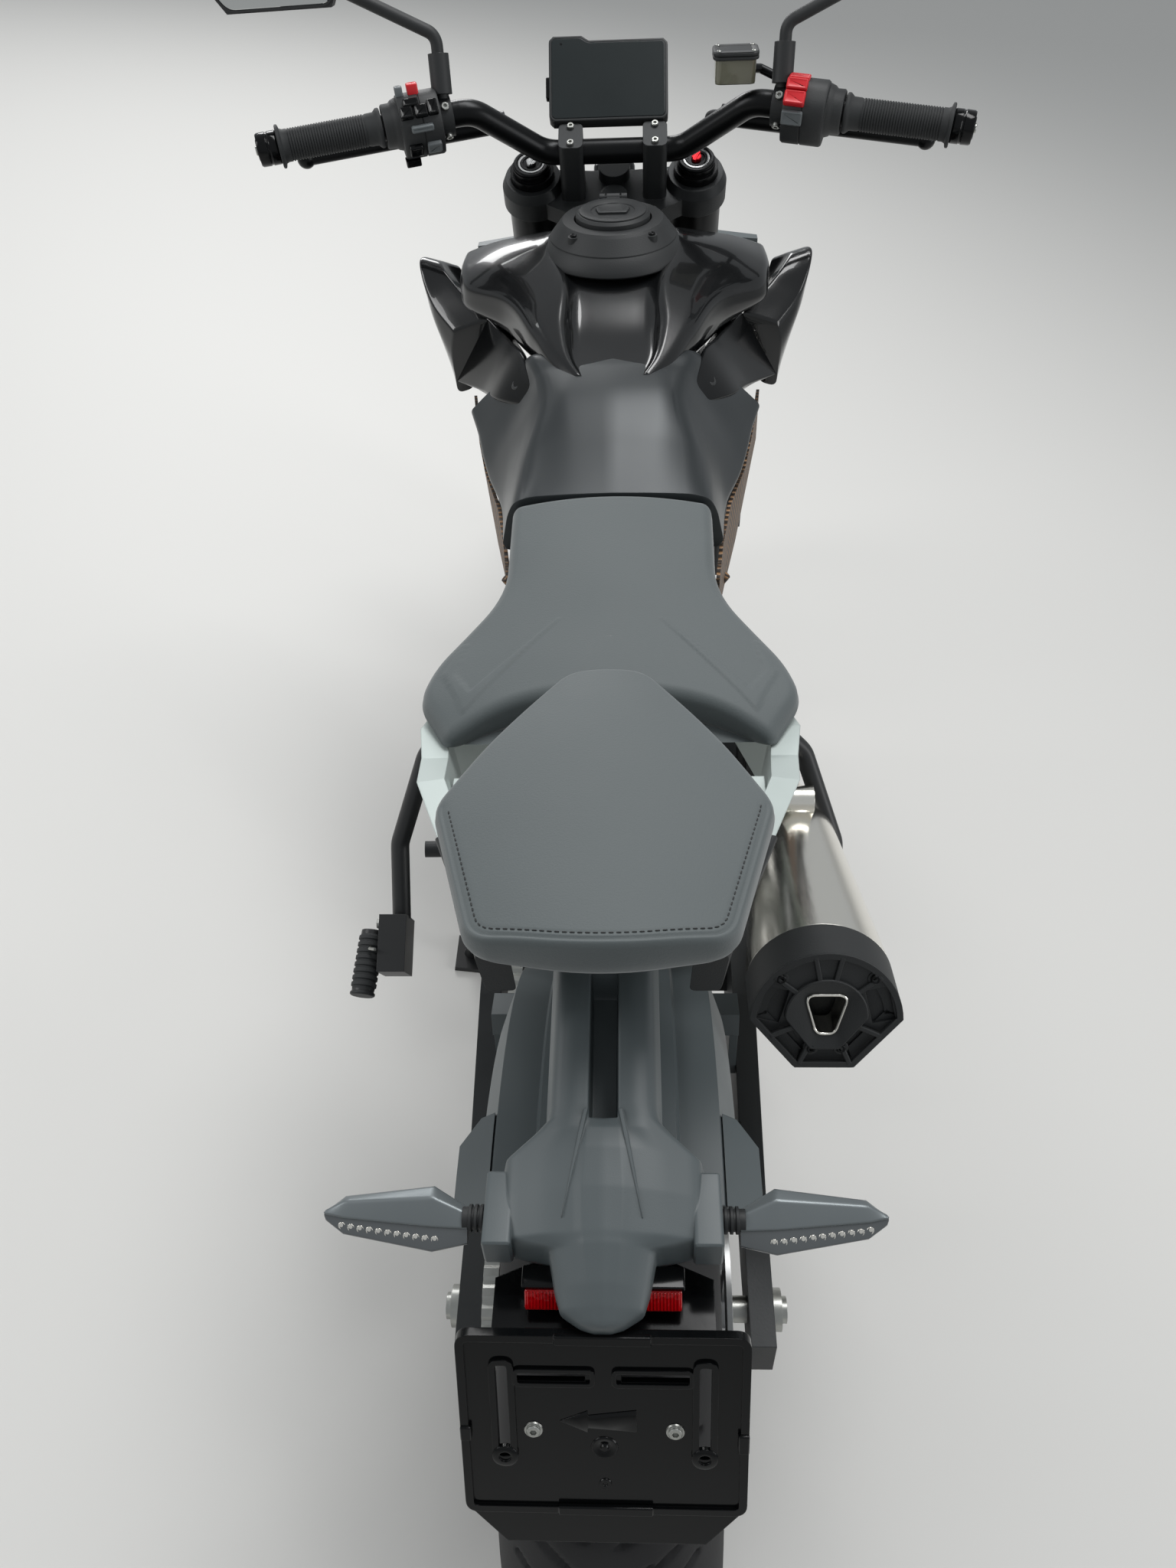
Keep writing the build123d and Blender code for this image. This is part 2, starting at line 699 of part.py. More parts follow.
# The chain's run, anticlockwise from the top of the rear sprocket: y, z and the outward direction at a distance
def chain_run():
    rear = sprocket_radius + running_gap + chain_height / 2
    front = front_sprocket_radius + running_gap + chain_height / 2
    back, ahead = Vector(0, rear_tyre_radius), Vector(*front_sprocket_place)
    span = (ahead - back).length
    slope = atan2(ahead.Y - back.Y, ahead.X - back.X)
    close = asin((rear - front) / span)
    straight = span * cos(close)
    top, bottom = slope + pi / 2 - close, slope - pi / 2 + close
    front_arc, rear_arc = front * (pi - 2 * close), rear * (pi + 2 * close)

    def at(distance):
        if distance < straight:
            out = Vector(cos(top), sin(top))
            return back + out * rear + Vector(out.Y, -out.X) * distance, out
        distance -= straight
        if distance < front_arc:
            out = Vector(cos(top - distance / front), sin(top - distance / front))
            return ahead + out * front, out
        distance -= front_arc
        if distance < straight:
            out = Vector(cos(bottom), sin(bottom))
            return ahead + out * front + Vector(out.Y, -out.X) * distance, out
        distance -= straight
        out = Vector(cos(bottom - distance / rear), sin(bottom - distance / rear))
        return back + out * rear, out

    return at, 2 * straight + front_arc + rear_arc


def hugger():
    inner = rear_tyre_radius + hugger_gap
    half = hugger_half
    arc = 69
    shell = turned(
        [
            (-half, inner - 42),
            (-half + 16, inner),
            (half - 16, inner),
            (half, inner - 42),
            (half + 4, inner - 40),
            (half - 12, inner + 5),
            (12 - half, inner + 5),
            (-half - 4, inner - 40),
        ],
        arc,
    )
    for x in (-48, 48):
        shell += turned([(x - 9, inner + 4), (x - 6, inner + 12), (x + 6, inner + 12), (x + 9, inner + 4)], arc)
    shell = Rot(-60, 0, 0) * shell
    flare = turned([(half - 10, inner + 4), (half + 19, inner - 16), (half + 22, inner - 44),
                    (half + 18, inner - 44), (half + 15, inner - 18), (half - 10, inner - 2)], 13)
    corner = Pos(half + 41, 39, inner) * Rot(0, 0, 42) * Box(80, 80, 200)
    for piece in pair(Rot(-4, 0, 0) * flare - corner):
        shell += piece
    shell = shell.move(Location(rear_axle))
    foot = rear_tyre_radius + 69
    over_chain = foot + 72
    lug = side_plate([(222, foot), (262, foot + 6), (262, foot + 86), (230, foot + 92)], arm_inner - 9, arm_inner - fit_gap)
    lug += side_plate([(222, over_chain), (262, over_chain), (262, foot + 90), (230, foot + 98)], half, arm_inner - fit_gap)
    for piece in pair(lug):
        shell += piece
    return shell


# Frame and subframe


@cache
def frame():
    body = head * Pos(0, 0, head_tube_low) * Cylinder(head_tube_radius, head_tube_high - head_tube_low, align=low)
    inner, outer = arm_outer + 5, arm_outer + 5 + plate_thickness
    neck = head_foot.Y
    for side in (-1, 1):
        body += bent([(side * 14, neck - 287, 892), (side * 92, neck - 367, 838), (side * 112, 900, 752),
                      (side * 104, 700, 640), (side * 162, 612, 530), (side * 163, 606, 480)], 30, frame_tube)
        body += bent([(side * 14, neck - 260, 836), (side * 112, neck - 326, 744), (side * 142, 1010, 640),
                      (side * 108, 830, 700)], 40, frame_tube - 2)
        body += rod((side * 142, 1010, 640), (side * 138, 1000, 500), frame_tube - 2)
        body += rod((side * 96, 620, 545), (side * 96, 566, 652), frame_tube - 2)
        body += side_plate([(572, 330), (562, 470), (590, 560), (640, 560), (648, 440), (632, 330)],
                           side * inner, side * outer)
        radiator_lug = Pos(side * 112, 0, 103 + fit_gap) * Cylinder(8, 62, align=low)
        body += radiator_plane.location * radiator_lug
    body += rod((-inner, 620, 545), (inner, 620, 545), frame_tube - 1)
    body += rod((-outer - 5, pivot_y, pivot_z), (outer + 5, pivot_y, pivot_z), 11.5)
    body += stand_bracket(inner, outer)
    stem_hole = head * Pos(0, 0, head_tube_low - 5) * Cylinder(stem_radius + bearing_gap, 300, align=low)
    return body - stem_hole - crankcase() - cylinder_head()


# The lug and pin that carry the side stand, square to its hinge
def stand_bracket(inner, outer):
    bracket = side_plate([(592, 288), (592, 350), (632, 350), (632, 288)], -inner, -outer)
    bracket += side_plate([(592, 288), (592, 300), (632, 300), (632, 288)], -106, -outer)
    lug_face = Plane(origin=stand_pivot - stand_axis * (stand_half + fit_gap), x_dir=(0, 1, 0), z_dir=-stand_axis)
    lug = Cylinder(20, plate_thickness, align=low) + Pos(0, 20, 0) * Box(40, 40, plate_thickness, align=low)
    bracket += lug_face.location * lug
    bracket += rod(stand_pivot - stand_axis * (stand_half + 4), stand_pivot + stand_axis * (stand_half + 2),
                   stand_pin_radius)
    return bracket + rod(stand_pivot + stand_axis * (stand_half + fit_gap),
                         stand_pivot + stand_axis * (stand_half + 5), 2 * stand_pin_radius)


@cache
def subframe():
    rail = loft(
        [
            slice_at(572, [(84, 646), (108, 646), (108, 706), (84, 706)]),
            slice_at(470, [(106, 690), (124, 690), (128, 772), (110, 772)]),
            slice_at(330, [(140, 715), (158, 712), (172, 788), (146, 788)]),
            slice_at(290, [(134, 735), (152, 732), (166, 789), (142, 789)]),
            slice_at(236, [(128, 755), (146, 752), (160, 812), (136, 816)]),
            slice_at(30, [(64, 812), (80, 812), (84, 848), (66, 849)]),
        ],
        ruled=True,
    )
    body = rail + mirrored(rail)
    for y, z, half in ((552, 680, 96), (470, 730, 116), (250, 780, 134), (60, 826, 72)):
        body += Pos(0, y, z) * Box(2 * half, 26, 20)
    return body - frame()


# Bodywork


# Tank cover: gloss shell whose shoulders reach out and fall to a rounded tail between two ridges
@cache
def tank_cover():
    # y, then (x, z) of: middle, channel, ridge, shoulder, brow, edge, chin, inner chin, middle below
    stations = [
        (1092, (0, 964), (58, 964), (72, 968), (150, 956), (186, 945), (192, 915), (150, 898), (120, 866), (0, 866)),
        (1010, (0, 962), (60, 962), (78, 970), (148, 957), (190, 935), (192, 905), (152, 886), (120, 866), (0, 866)),
        (990, (0, 957), (58, 957), (74, 966), (142, 955), (184, 932), (188, 905), (150, 886), (118, 866), (0, 866)),
        (935, (0, 944), (46, 944), (58, 954), (104, 946), (130, 935), (132, 910), (126, 888), (104, 876), (0, 876)),
        (865, (0, 918), (44, 918), (58, 930), (84, 927), (93, 918), (95, 900), (90, 886), (76, 876), (0, 876)),
        (812, (0, 905), (40, 906), (48, 912), (57, 909), (63, 904), (64, 896), (58, 884), (50, 876), (0, 876)),
        (793, (0, 901), (32, 902), (38, 905), (43, 903), (46, 900), (47, 894), (44, 884), (38, 876), (0, 876)),
    ]
    cover = loft([station(y, half) for y, *half in stations], ruled=True) - fork_room()
    for x in (-101, 101):
        cover += rod((x, 1000, 880), (x, 1000, 800), 10)
    return cover - Pos(0, cap_y, 940) * Cylinder(neck_radius + fit_gap, 200) - frame()


# The part of the rear cover that the gloss shell's tail takes
def tail_bed():
    outline = [(47, 792), (65, 811), (96, 865), (116, 900), (116, 960)]
    left = [(-x, y) for x, y in reversed(outline)]
    right = [(x + seam, y - seam) for x, y in outline]
    left = [(x - seam, y - seam) for x, y in left]
    return Pos(0, 0, cover_floor - seam) * extrude(make_face(Polyline(*right, *left, close=True)), 200)


def fork_room():
    return head * Pos(0, 300 - 80, 700) * Box(700, 600, 1400)


@cache
def tank_rear_cover():
    # y, then (x, z) of: middle, crown, border, shoulder, flank, knee, inner knee, middle below
    stations = [
        (890, (0, 874), (60, 874), (110, 872), (122, 860), (150, 843), (179, 815), (170, 794), (0, 794)),
        (850, (0, 907), (60, 907), (98, 903), (107, 880), (128, 852), (168, 806), (158, 790), (0, 790)),
        (812, (0, 906), (50, 906), (84, 900), (94, 880), (116, 848), (160, 798), (150, 786), (0, 786)),
        (775, (0, 901), (56, 899), (76, 892), (92, 872), (114, 842), (150, 792), (144, 784), (0, 784)),
        (700, (0, 876), (56, 873), (88, 864), (104, 846), (116, 822), (128, 792), (122, 784), (0, 784)),
        (628, (0, 852), (50, 851), (86, 849), (104, 843), (112, 828), (120, 792), (116, 784), (0, 784)),
    ]
    cover = loft([station(y, half) for y, *half in stations], ruled=True)
    return cover - tail_bed() - frame()


# Side blades: a wing that hooks up at the front, and a folded panel behind it
def tank_spoilers():
    wing_sections = [
        (1120, (206, 905), (236, 915), (232, 860), (214, 800), (192, 800), (194, 860)),
        (1078, (222, 925), (252, 930), (244, 880), (222, 790), (198, 790), (198, 880)),
        (1038, (195, 905), (235, 890), (236, 870), (216, 795), (190, 795), (184, 860)),
        (1004, (160, 883), (206, 868), (212, 840), (210, 784), (190, 790), (158, 850)),
    ]
    panel_sections = [
        (1004, (160, 883), (210, 800), (184, 796), (140, 858), (140, 878)),
        (925, (128, 890), (168, 826), (158, 816), (116, 868), (114, 882)),
        (859, (104, 896), (141, 845), (132, 836), (98, 876), (98, 888)),
        (800, (91, 876), (97, 863), (92, 856), (86, 864), (87, 870)),
    ]
    wing = loft([slice_at(y, outline) for y, *outline in wing_sections], ruled=True)
    panel = loft([slice_at(y, outline) for y, *outline in panel_sections], ruled=True)
    bracket = Pos(166, 1050, 872) * Box(64, 36, 56)
    return pair((wing + panel + bracket - tank_cover() - tank_rear_cover() - frame()).solids()[0])


def side_panels():
    # y, then the lower and upper edge as (x, z)
    stations = [(1000, (184, 712), (184, 782)), (900, (164, 692), (170, 788)), (808, (146, 676), (153, 778)),
                (720, (128, 672), (130, 780)), (640, (114, 676), (117, 780)), (580, (110, 700), (110, 775))]
    panel = loft(
        [
            slice_at(y, [foot, (foot[0] + 4, foot[1]), (top[0] + 4, top[1]), top])
            for y, foot, top in stations
        ],
        ruled=True,
    )
    stay = rod((112, 900, 752), (170, 900, 752), 6) + rod((104, 712, 647), (132, 712, 690), 6)
    return pair(panel + stay - frame() - subframe() - tank_rear_cover())


def filler_ring():
    bore = lid_radius + 2
    skirt = Plane.XZ * make_face(Polyline((bore, ring_base), (ring_radius, ring_base), (ring_radius, ring_base + 4),
                                          (64, ring_top - 3), (61, ring_top), (bore, ring_top), close=True))
    ring = revolve(skirt, axis=Axis.Z)
    for turn in (45, 135, 225, 315):
        ring += Rot(0, 0, turn) * Pos(65, 0, ring_base) * Cylinder(7, 18, align=low)
    neck = Pos(0, 0, ring_base - 34) * (Cylinder(neck_radius, 46, align=low) - Cylinder(lid_radius - 6, 160))
    ring = Pos(0, cap_y, 0) * (ring + neck)
    ring -= head * Pos(0, 300 - 22, 700) * Box(700, 600, 1400)
    reach = lid_pin_radius + 2.5
    across = Vector(17, 0, 0)
    ears = rod(lid_hinge - across, lid_hinge + across, reach) + Pos(0, lid_hinge.Y, lid_hinge.Z - 8) * Box(34, 2 * reach, 16)
    ears -= Pos(0, lid_hinge.Y, lid_hinge.Z - 5) * Box(20, 12, 22)
    return ring + ears + rod(lid_hinge - across, lid_hinge + across, lid_pin_radius)


def fuel_lid():
    lid = Pos(0, cap_y, lid_base) * Cylinder(lid_radius, lid_height, align=low)
    lid = chamfer(lid.edges().group_by(Axis.Z)[-1], 3)
    tab = Pos(0, lid_hinge.Y - 7, lid_hinge.Z - 1) * Box(16, 14, 5)
    across = Vector(8, 0, 0)
    barrel = rod(lid_hinge - across, lid_hinge + across, lid_pin_radius + 2.5)
    return lid + tab + barrel - rod(lid_hinge - across * 2, lid_hinge + across * 2, lid_pin_radius + fit_gap)


def rider_seat():
    # y, half width, base, edge, crown
    stations = [(626, 104, 812, 840, 852), (560, 102, 806, 832, 844), (484, 104, 800, 826, 838),
                (424, 134, 796, 817, 832), (380, 162, 792, 811, 828), (340, 173, 790, 807, 826),
                (304, 158, 790, 801, 826), (276, 112, 790, 800, 824), (262, 70, 790, 800, 822)]
    return loft([cushion_station(*row) for row in stations], ruled=True) - frame() - tank_rear_cover()


def pillion_seat():
    # y, half width, base, edge, crown
    stations = [(303, 32, 832, 870, 877), (262, 70, 834, 868, 880), (205, 110, 838, 866, 883),
                (158, 130, 840, 866, 884), (110, 126, 844, 867, 886), (50, 104, 848, 871, 889),
                (12, 86, 851, 874, 892), (0, 70, 852, 876, 890)]
    return loft([cushion_station(*row) for row in stations], ruled=True)


@cache
def plate_carrier():
    # y, then (x, z) of: middle, crown, shoulder, edge, middle below
    stations = [
        (110, (0, 792), (20, 792), (34, 790), (41, 762), (0, 758)),
        (-44, (0, 758), (22, 757), (37, 753), (42, 726), (0, 722)),
        (-66, (0, 756), (40, 748), (68, 738), (70, 714), (0, 708)),
        (-120, (0, 742), (38, 736), (66, 728), (68, 706), (0, 700)),
        (-124, (0, 740), (28, 734), (35, 728), (36, 706), (0, 700)),
        (-158, (0, 722), (20, 718), (28, 714), (29, 704), (0, 698)),
        (-168, (0, 714), (4, 713), (7, 711), (8, 704), (0, 700)),
    ]
    body = loft([station(y, half) for y, *half in stations], ruled=True)
    body -= Pos(0, 6, 760) * Box(20, 107, 120)
    tip = Box(20, 52, 30)
    tip = chamfer(tip.edges().filter_by(Axis.Y), 4)
    for side in (-1, 1):
        body += Pos(side * (arm_end - 10), -97, 719) * tip
    body += Pos(0, -133, 700) * Box(106, 16, 4)
    neck = side_plate([(100, 770), (110, 818), (70, 818), (74, 770)], -30, 30)
    return body + neck - subframe()


def tail_lamp():
    return Pos(0, -133, 690.5) * Box(106, 14, 14) - plate_carrier()


def rear_indicators():
    # x, middle y, depth, height
    stations = [(93, -99.5, 22, 20), (118, -95, 40, 27), (181, -92, 25, 18), (195, -93, 6, 8)]
    body = loft([Plane.YZ.offset(x) * Pos(y, 715) * Rectangle(depth, height) for x, y, depth, height in stations],
                ruled=True)
    return pair(body + rod((arm_end + fit_gap, -97, 716), (98, -97, 716), 8))


def plate_frame():
    reach, rise, lean = rear_tyre_radius + board_reach, radians(board_rise), radians(board_lean)
    place = rear_axle + Vector(0, -reach * cos(rise), reach * sin(rise))
    tilt = Plane(origin=place, x_dir=(1, 0, 0), z_dir=(0, -sin(lean), cos(lean))).location
    board = Box(board_width, board_height, board_thickness) - Pos(0, 0, board_thickness - 1.5) * Box(
        board_width - 10, board_height - 10, board_thickness)
    board = fillet(board.edges().filter_by(Axis.Z).group_by(SortBy.DISTANCE)[-1], 8)
    for side in (-1, 1):
        board -= Pos(68 * side, 14, 0) * Box(8, 76, 20) + Pos(35 * side, 42, 0) * Box(46, 8, 20)
    tab = make_face(Polyline((-94, 4 - board_height / 2), (94, 4 - board_height / 2), (94, -80), (70, -110),
                             (-70, -110), (-94, -80), close=True))
    board += Pos(0, 0, -board_thickness / 2) * extrude(tab, board_thickness / 2)
    shelf_top = place.Z + 48
    back = place.Y + 48 / sin(lean) * cos(lean) - 1
    shelf = make_face(Polyline((-41, -107), (41, -107), (76, -122), (76, back), (-76, back), (-76, -122), close=True))
    bracket = Pos(0, 0, shelf_top - board_thickness) * extrude(shelf, board_thickness)
    bracket += Pos(0, -115, (shelf_top + 704) / 2) * Box(60, 14, 704 - shelf_top)
    return tilt * board + bracket - plate_carrier()


def silencer():
    # along, half width, crown, floor depth, floor half width
    stations = [(0, 34, 34, 33, 14), (40, 45, 42, 40, 18), (silencer_length, *silencer_mouth)]
    body = loft([silencer_section(along) * silencer_outline(*row) for along, *row in stations], ruled=True)
    bush = rod((170, 404, 618), (208, 404, 618), 15)
    return body + bush - pillion_footrests()[0]


def silencer_outline(half, crown, floor, floor_half):
    side = 0.16 * floor
    lower = Polyline((half, -side), (floor_half, -floor), (-floor_half, -floor), (-half, -side))
    upper = ThreePointArc((-half, -side), (0, crown), (half, -side))
    return make_face([*lower.edges(), *upper.edges()])


def silencer_section(along):
    return Plane(origin=silencer_start + silencer_axis * along, x_dir=(1, 0, 0), z_dir=silencer_axis)


def silencer_cap():
    shell = silencer_outline(*silencer_mouth)
    cap = extrude(silencer_section(silencer_length + fit_gap) * shell, cap_length, dir=silencer_axis)
    end = silencer_start + silencer_axis * (silencer_length + cap_length)
    facing = (0, -cos(radians(cap_rise)), sin(radians(cap_rise)))
    face = Plane(origin=end, x_dir=(1, 0, 0), z_dir=facing).location
    outlet = silencer_section(silencer_length + 20) * Pos(0, -2) * silencer_outline(30, 26, 30, 10)
    cap = cap - face * Pos(0, 0, 100) * Box(300, 300, 200) - extrude(outlet, cap_length + 4, dir=silencer_axis)
    pocket = Box(20, 34, 12)
    for x, y, turn in ((-46, 4, -14), (46, 4, 14), (-32, -38, 24), (32, -38, -24)):
        cap -= face * Pos(x, y, 0) * Rot(0, 0, turn) * pocket
    return cap


def rider_footrests():
    plate = side_plate([(566, 302), (566, 420), (600, 424), (640, 390), (632, 302)], 174.3, 182)
    peg = rod((180, 600, 330), (262, 594, 336), 11)
    return pair(plate + peg)


@cache
def pillion_footrests():
    tube = bent([(124, 450, 734), (200, 446, 648), (235, 399, 560), (235, 346, 496)], 24, 10)
    yoke = Pos(241, 322, 478) * Rot(30, 0, 0) * Box(30, 62, 46)
    peg = rod((266, 332, 490), (272, 268, 462), 12)
    return pair(tube + yoke + peg - subframe())


# Side stand


def side_stand():
    leg = rod(stand_pivot, stand_foot, 12)
    knuckle = rod(stand_pivot - stand_axis * stand_half, stand_pivot + stand_axis * stand_half, 18)
    leg -= rod(stand_pivot + stand_axis * stand_half, stand_pivot + stand_axis * 40, 40)
    leg -= rod(stand_pivot - stand_axis * stand_half, stand_pivot - stand_axis * 40, 40)
    pin = rod(stand_pivot - stand_axis * 30, stand_pivot + stand_axis * 30, stand_pin_radius + fit_gap)
    ground_up = Vector(sin(radians(park_lean)), 0, cos(radians(park_lean)))
    across = (cos(radians(park_lean)), 0, -sin(radians(park_lean)))
    sole = Plane(origin=stand_foot, x_dir=across, z_dir=ground_up).location
    return leg + knuckle + sole * Box(44, 62, 8, align=low) - pin - sole * Pos(0, 0, -20) * Box(200, 200, 40)


pieces = {
    "front_tyre": front_tyre,
    "front_rim": front_rim,
    "front_discs": front_discs,
    "front_axle": front_axle_pin,
    "fork_sliders": fork_sliders,
    "fork_outers": fork_outers,
    "fork_clamps": fork_clamps,
    "front_calipers": front_calipers,
    "front_mudguard": front_mudguard,
    "handlebar": handlebar,
    "grips": grips,
    "switchgear": switchgear,
    "levers": levers,
    "mirrors": mirrors,
    "display": display,
    "brake_hoses": brake_hoses,
    "headlight": headlight,
    "front_indicators": front_indicators,
    "frame": frame,
    "subframe": subframe,
    "crankcase": crankcase,
    "cylinder_head": cylinder_head,
    "radiator": radiator,
    "exhaust_headers": exhaust_headers,
    "silencer": silencer,
    "silencer_cap": silencer_cap,
    "swingarm": swingarm,
    "shock": shock,
    "rear_axle": rear_axle_pin,
    "rear_caliper": rear_caliper,
    "chain": chain,
    "rear_tyre": rear_tyre,
    "rear_rim": rear_rim,
    "rear_sprocket": rear_sprocket,
    "rear_disc": rear_disc,
    "hugger": hugger,
    "tank_cover": tank_cover,
    "tank_rear_cover": tank_rear_cover,
    "tank_spoilers": tank_spoilers,
    "side_panels": side_panels,
    "filler_ring": filler_ring,
    "fuel_lid": fuel_lid,
    "rider_seat": rider_seat,
    "pillion_seat": pillion_seat,
    "plate_carrier": plate_carrier,
    "tail_lamp": tail_lamp,
    "rear_indicators": rear_indicators,
    "plate_frame": plate_frame,
    "rider_footrests": rider_footrests,
    "pillion_footrests": pillion_footrests,
    "side_stand": side_stand,
}

# Lean the whole machine onto its stand, and set the origin under the middle of its outline
def solids_of(result):
    shapes = result if isinstance(result, list) else [result]
    return Compound([solid for shape in shapes for solid in shape.solids()])


parked = Pos(0, 0, sink) * Rot(0, -park_lean, 0)
leaned = {name: parked * solids_of(build()) for name, build in pieces.items()}
boxes = [shape.bounding_box() for shape in leaned.values()]
middle_x = (min(box.min.X for box in boxes) + max(box.max.X for box in boxes)) / 2
middle_y = (min(box.min.Y for box in boxes) + max(box.max.Y for box in boxes)) / 2
centred = Pos(-middle_x, -middle_y, 0)

os.makedirs("parts", exist_ok=True)
for name, shape in leaned.items():
    export_step(centred * shape, f"parts/{name}.step")

print("shift", -middle_x, -middle_y, sink, "lowest", min(box.min.Z for box in boxes))
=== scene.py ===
import json
import math
import bpy
import bmesh
import numpy as np
from mathutils import Matrix, Vector, noise


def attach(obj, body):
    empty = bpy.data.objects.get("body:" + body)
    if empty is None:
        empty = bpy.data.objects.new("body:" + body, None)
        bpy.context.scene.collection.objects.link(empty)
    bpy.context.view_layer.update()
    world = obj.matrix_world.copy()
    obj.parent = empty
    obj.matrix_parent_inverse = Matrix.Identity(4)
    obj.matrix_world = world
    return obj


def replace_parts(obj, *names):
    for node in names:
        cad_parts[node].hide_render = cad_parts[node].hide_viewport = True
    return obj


# A naked standard motorcycle on its side stand. Lengths in the tables are millimetres in the machine's
# own upright axes (x to the rider's right, y forward from the rear axle, z up from the ground),
# and the pieces are placed from there into the leaning frame.

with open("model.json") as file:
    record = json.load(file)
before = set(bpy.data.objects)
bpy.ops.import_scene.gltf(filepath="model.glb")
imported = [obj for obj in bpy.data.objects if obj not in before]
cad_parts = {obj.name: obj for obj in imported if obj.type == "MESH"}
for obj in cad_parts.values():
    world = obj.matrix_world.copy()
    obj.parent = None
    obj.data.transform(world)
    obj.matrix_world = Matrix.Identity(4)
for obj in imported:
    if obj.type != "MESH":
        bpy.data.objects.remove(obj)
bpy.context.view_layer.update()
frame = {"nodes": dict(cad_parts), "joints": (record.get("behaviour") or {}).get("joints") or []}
nodes = frame["nodes"]
print("frame loaded")

joints = {joint["name"]: joint for joint in frame["joints"]}
mm = 0.001
axleHeight = 315
across = Vector(joints["rear_wheel_spin"]["axis"]).normalized()
forward = Vector((0, 1, 0))
upward = across.cross(forward)
bikeOrigin = Vector(joints["rear_wheel_spin"]["pos_m"]) - upward * axleHeight * mm
upHead = Vector(joints["steering"]["axis"]).normalized()
aheadHead = upHead.cross(across)
headOrigin = Vector(joints["steering"]["pos_m"])


def placing(origin, xAxis, yAxis, zAxis):  # local millimetres to the frame's metres
    turn = Matrix((xAxis, yAxis, zAxis)).transposed().to_4x4()
    return Matrix.Translation(origin) @ turn @ Matrix.Scale(mm, 4)


bike = placing(bikeOrigin, across, forward, upward)
head = placing(headOrigin, across, aheadHead, upHead)


def onAxis(place, point, axis, xHint=(1, 0, 0)):  # a local frame at a point, its z along an axis
    z = Vector(axis).normalized()
    x = Vector(xHint) - z * Vector(xHint).dot(z)
    if x.length < 1e-6:
        x = Vector((0, 1, 0)) - z * z.y
    x.normalize()
    turn = Matrix((x, z.cross(x), z)).transposed().to_4x4()
    return place @ Matrix.Translation(Vector(point)) @ turn


# Camera at the photograph's viewing angle, in the machine's upright axes
cameraView = {
    "place": (26.7, -458.4, 1490.3),
    "downTilt": 44.42,
    "turnLeft": 3.52,
    "roll": -2.88,
    "focalPixels": 1521,
    "imageHeight": 2048,
}


def makeCamera():
    down = math.radians(cameraView["downTilt"])
    left = math.radians(cameraView["turnLeft"])
    roll = math.radians(cameraView["roll"])
    look = Vector((-math.sin(left) * math.cos(down), math.cos(left) * math.cos(down), -math.sin(down)))
    level = Vector((math.cos(left), math.sin(left), 0))
    rise = level.cross(look)
    right = level * math.cos(roll) + rise * math.sin(roll)
    up = rise * math.cos(roll) - level * math.sin(roll)
    data = bpy.data.cameras.new("photoCamera")
    data.sensor_width = 36
    data.lens = cameraView["focalPixels"] / cameraView["imageHeight"] * data.sensor_width
    data.clip_start = 0.01
    camera = bpy.data.objects.new("photoCamera", data)
    bpy.context.scene.collection.objects.link(camera)
    turn = bike.to_3x3().normalized() @ Matrix((right, up, -look)).transposed()
    camera.matrix_world = Matrix.Translation(bike @ Vector(cameraView["place"])) @ turn.to_4x4()
    bpy.context.scene.camera = camera


makeCamera()


# Materials


def colour(hexCode):  # sRGB hex to linear
    channels = [int(hexCode[i:i + 2], 16) / 255 for i in (1, 3, 5)]
    linear = [c / 12.92 if c <= 0.04045 else ((c + 0.055) / 1.055) ** 2.4 for c in channels]
    return (*linear, 1)


def addNode(tree, kind, settings=None, links=None):  # settings are attributes or socket values
    node = tree.nodes.new("ShaderNode" + kind)
    for key, value in (settings or {}).items():
        if isinstance(key, str) and hasattr(node, key):
            setattr(node, key, value)
        else:
            node.inputs[key].default_value = value
    for key, socket in (links or {}).items():
        tree.links.new(socket, node.inputs[key])
    return node


def newMaterial(name):  # an empty node tree with its shader and object coordinates
    material = bpy.data.materials.new(name)
    material.use_nodes = True
    tree = material.node_tree
    tree.nodes.clear()
    output = addNode(tree, "OutputMaterial")
    shader = addNode(tree, "BsdfPrincipled")
    tree.links.new(shader.outputs[0], output.inputs[0])
    coords = addNode(tree, "TexCoord").outputs["Object"]
    return material, tree, shader, coords


def grainScale(sizeMm):  # texture scale for a pattern of that size
    return 1000 / sizeMm


# What most finishes share. Millimetres: grain and its height, cloudSize, edge (the radius of worn or
# moulded edges). Shares: cloud (how far the tone drifts) and roughSpread
usualFinish = {"grain": 1.0, "height": 0.03, "cloud": 0.08, "cloudSize": 70, "roughSpread": 0.06, "edge": 0,
               "shader": {}}


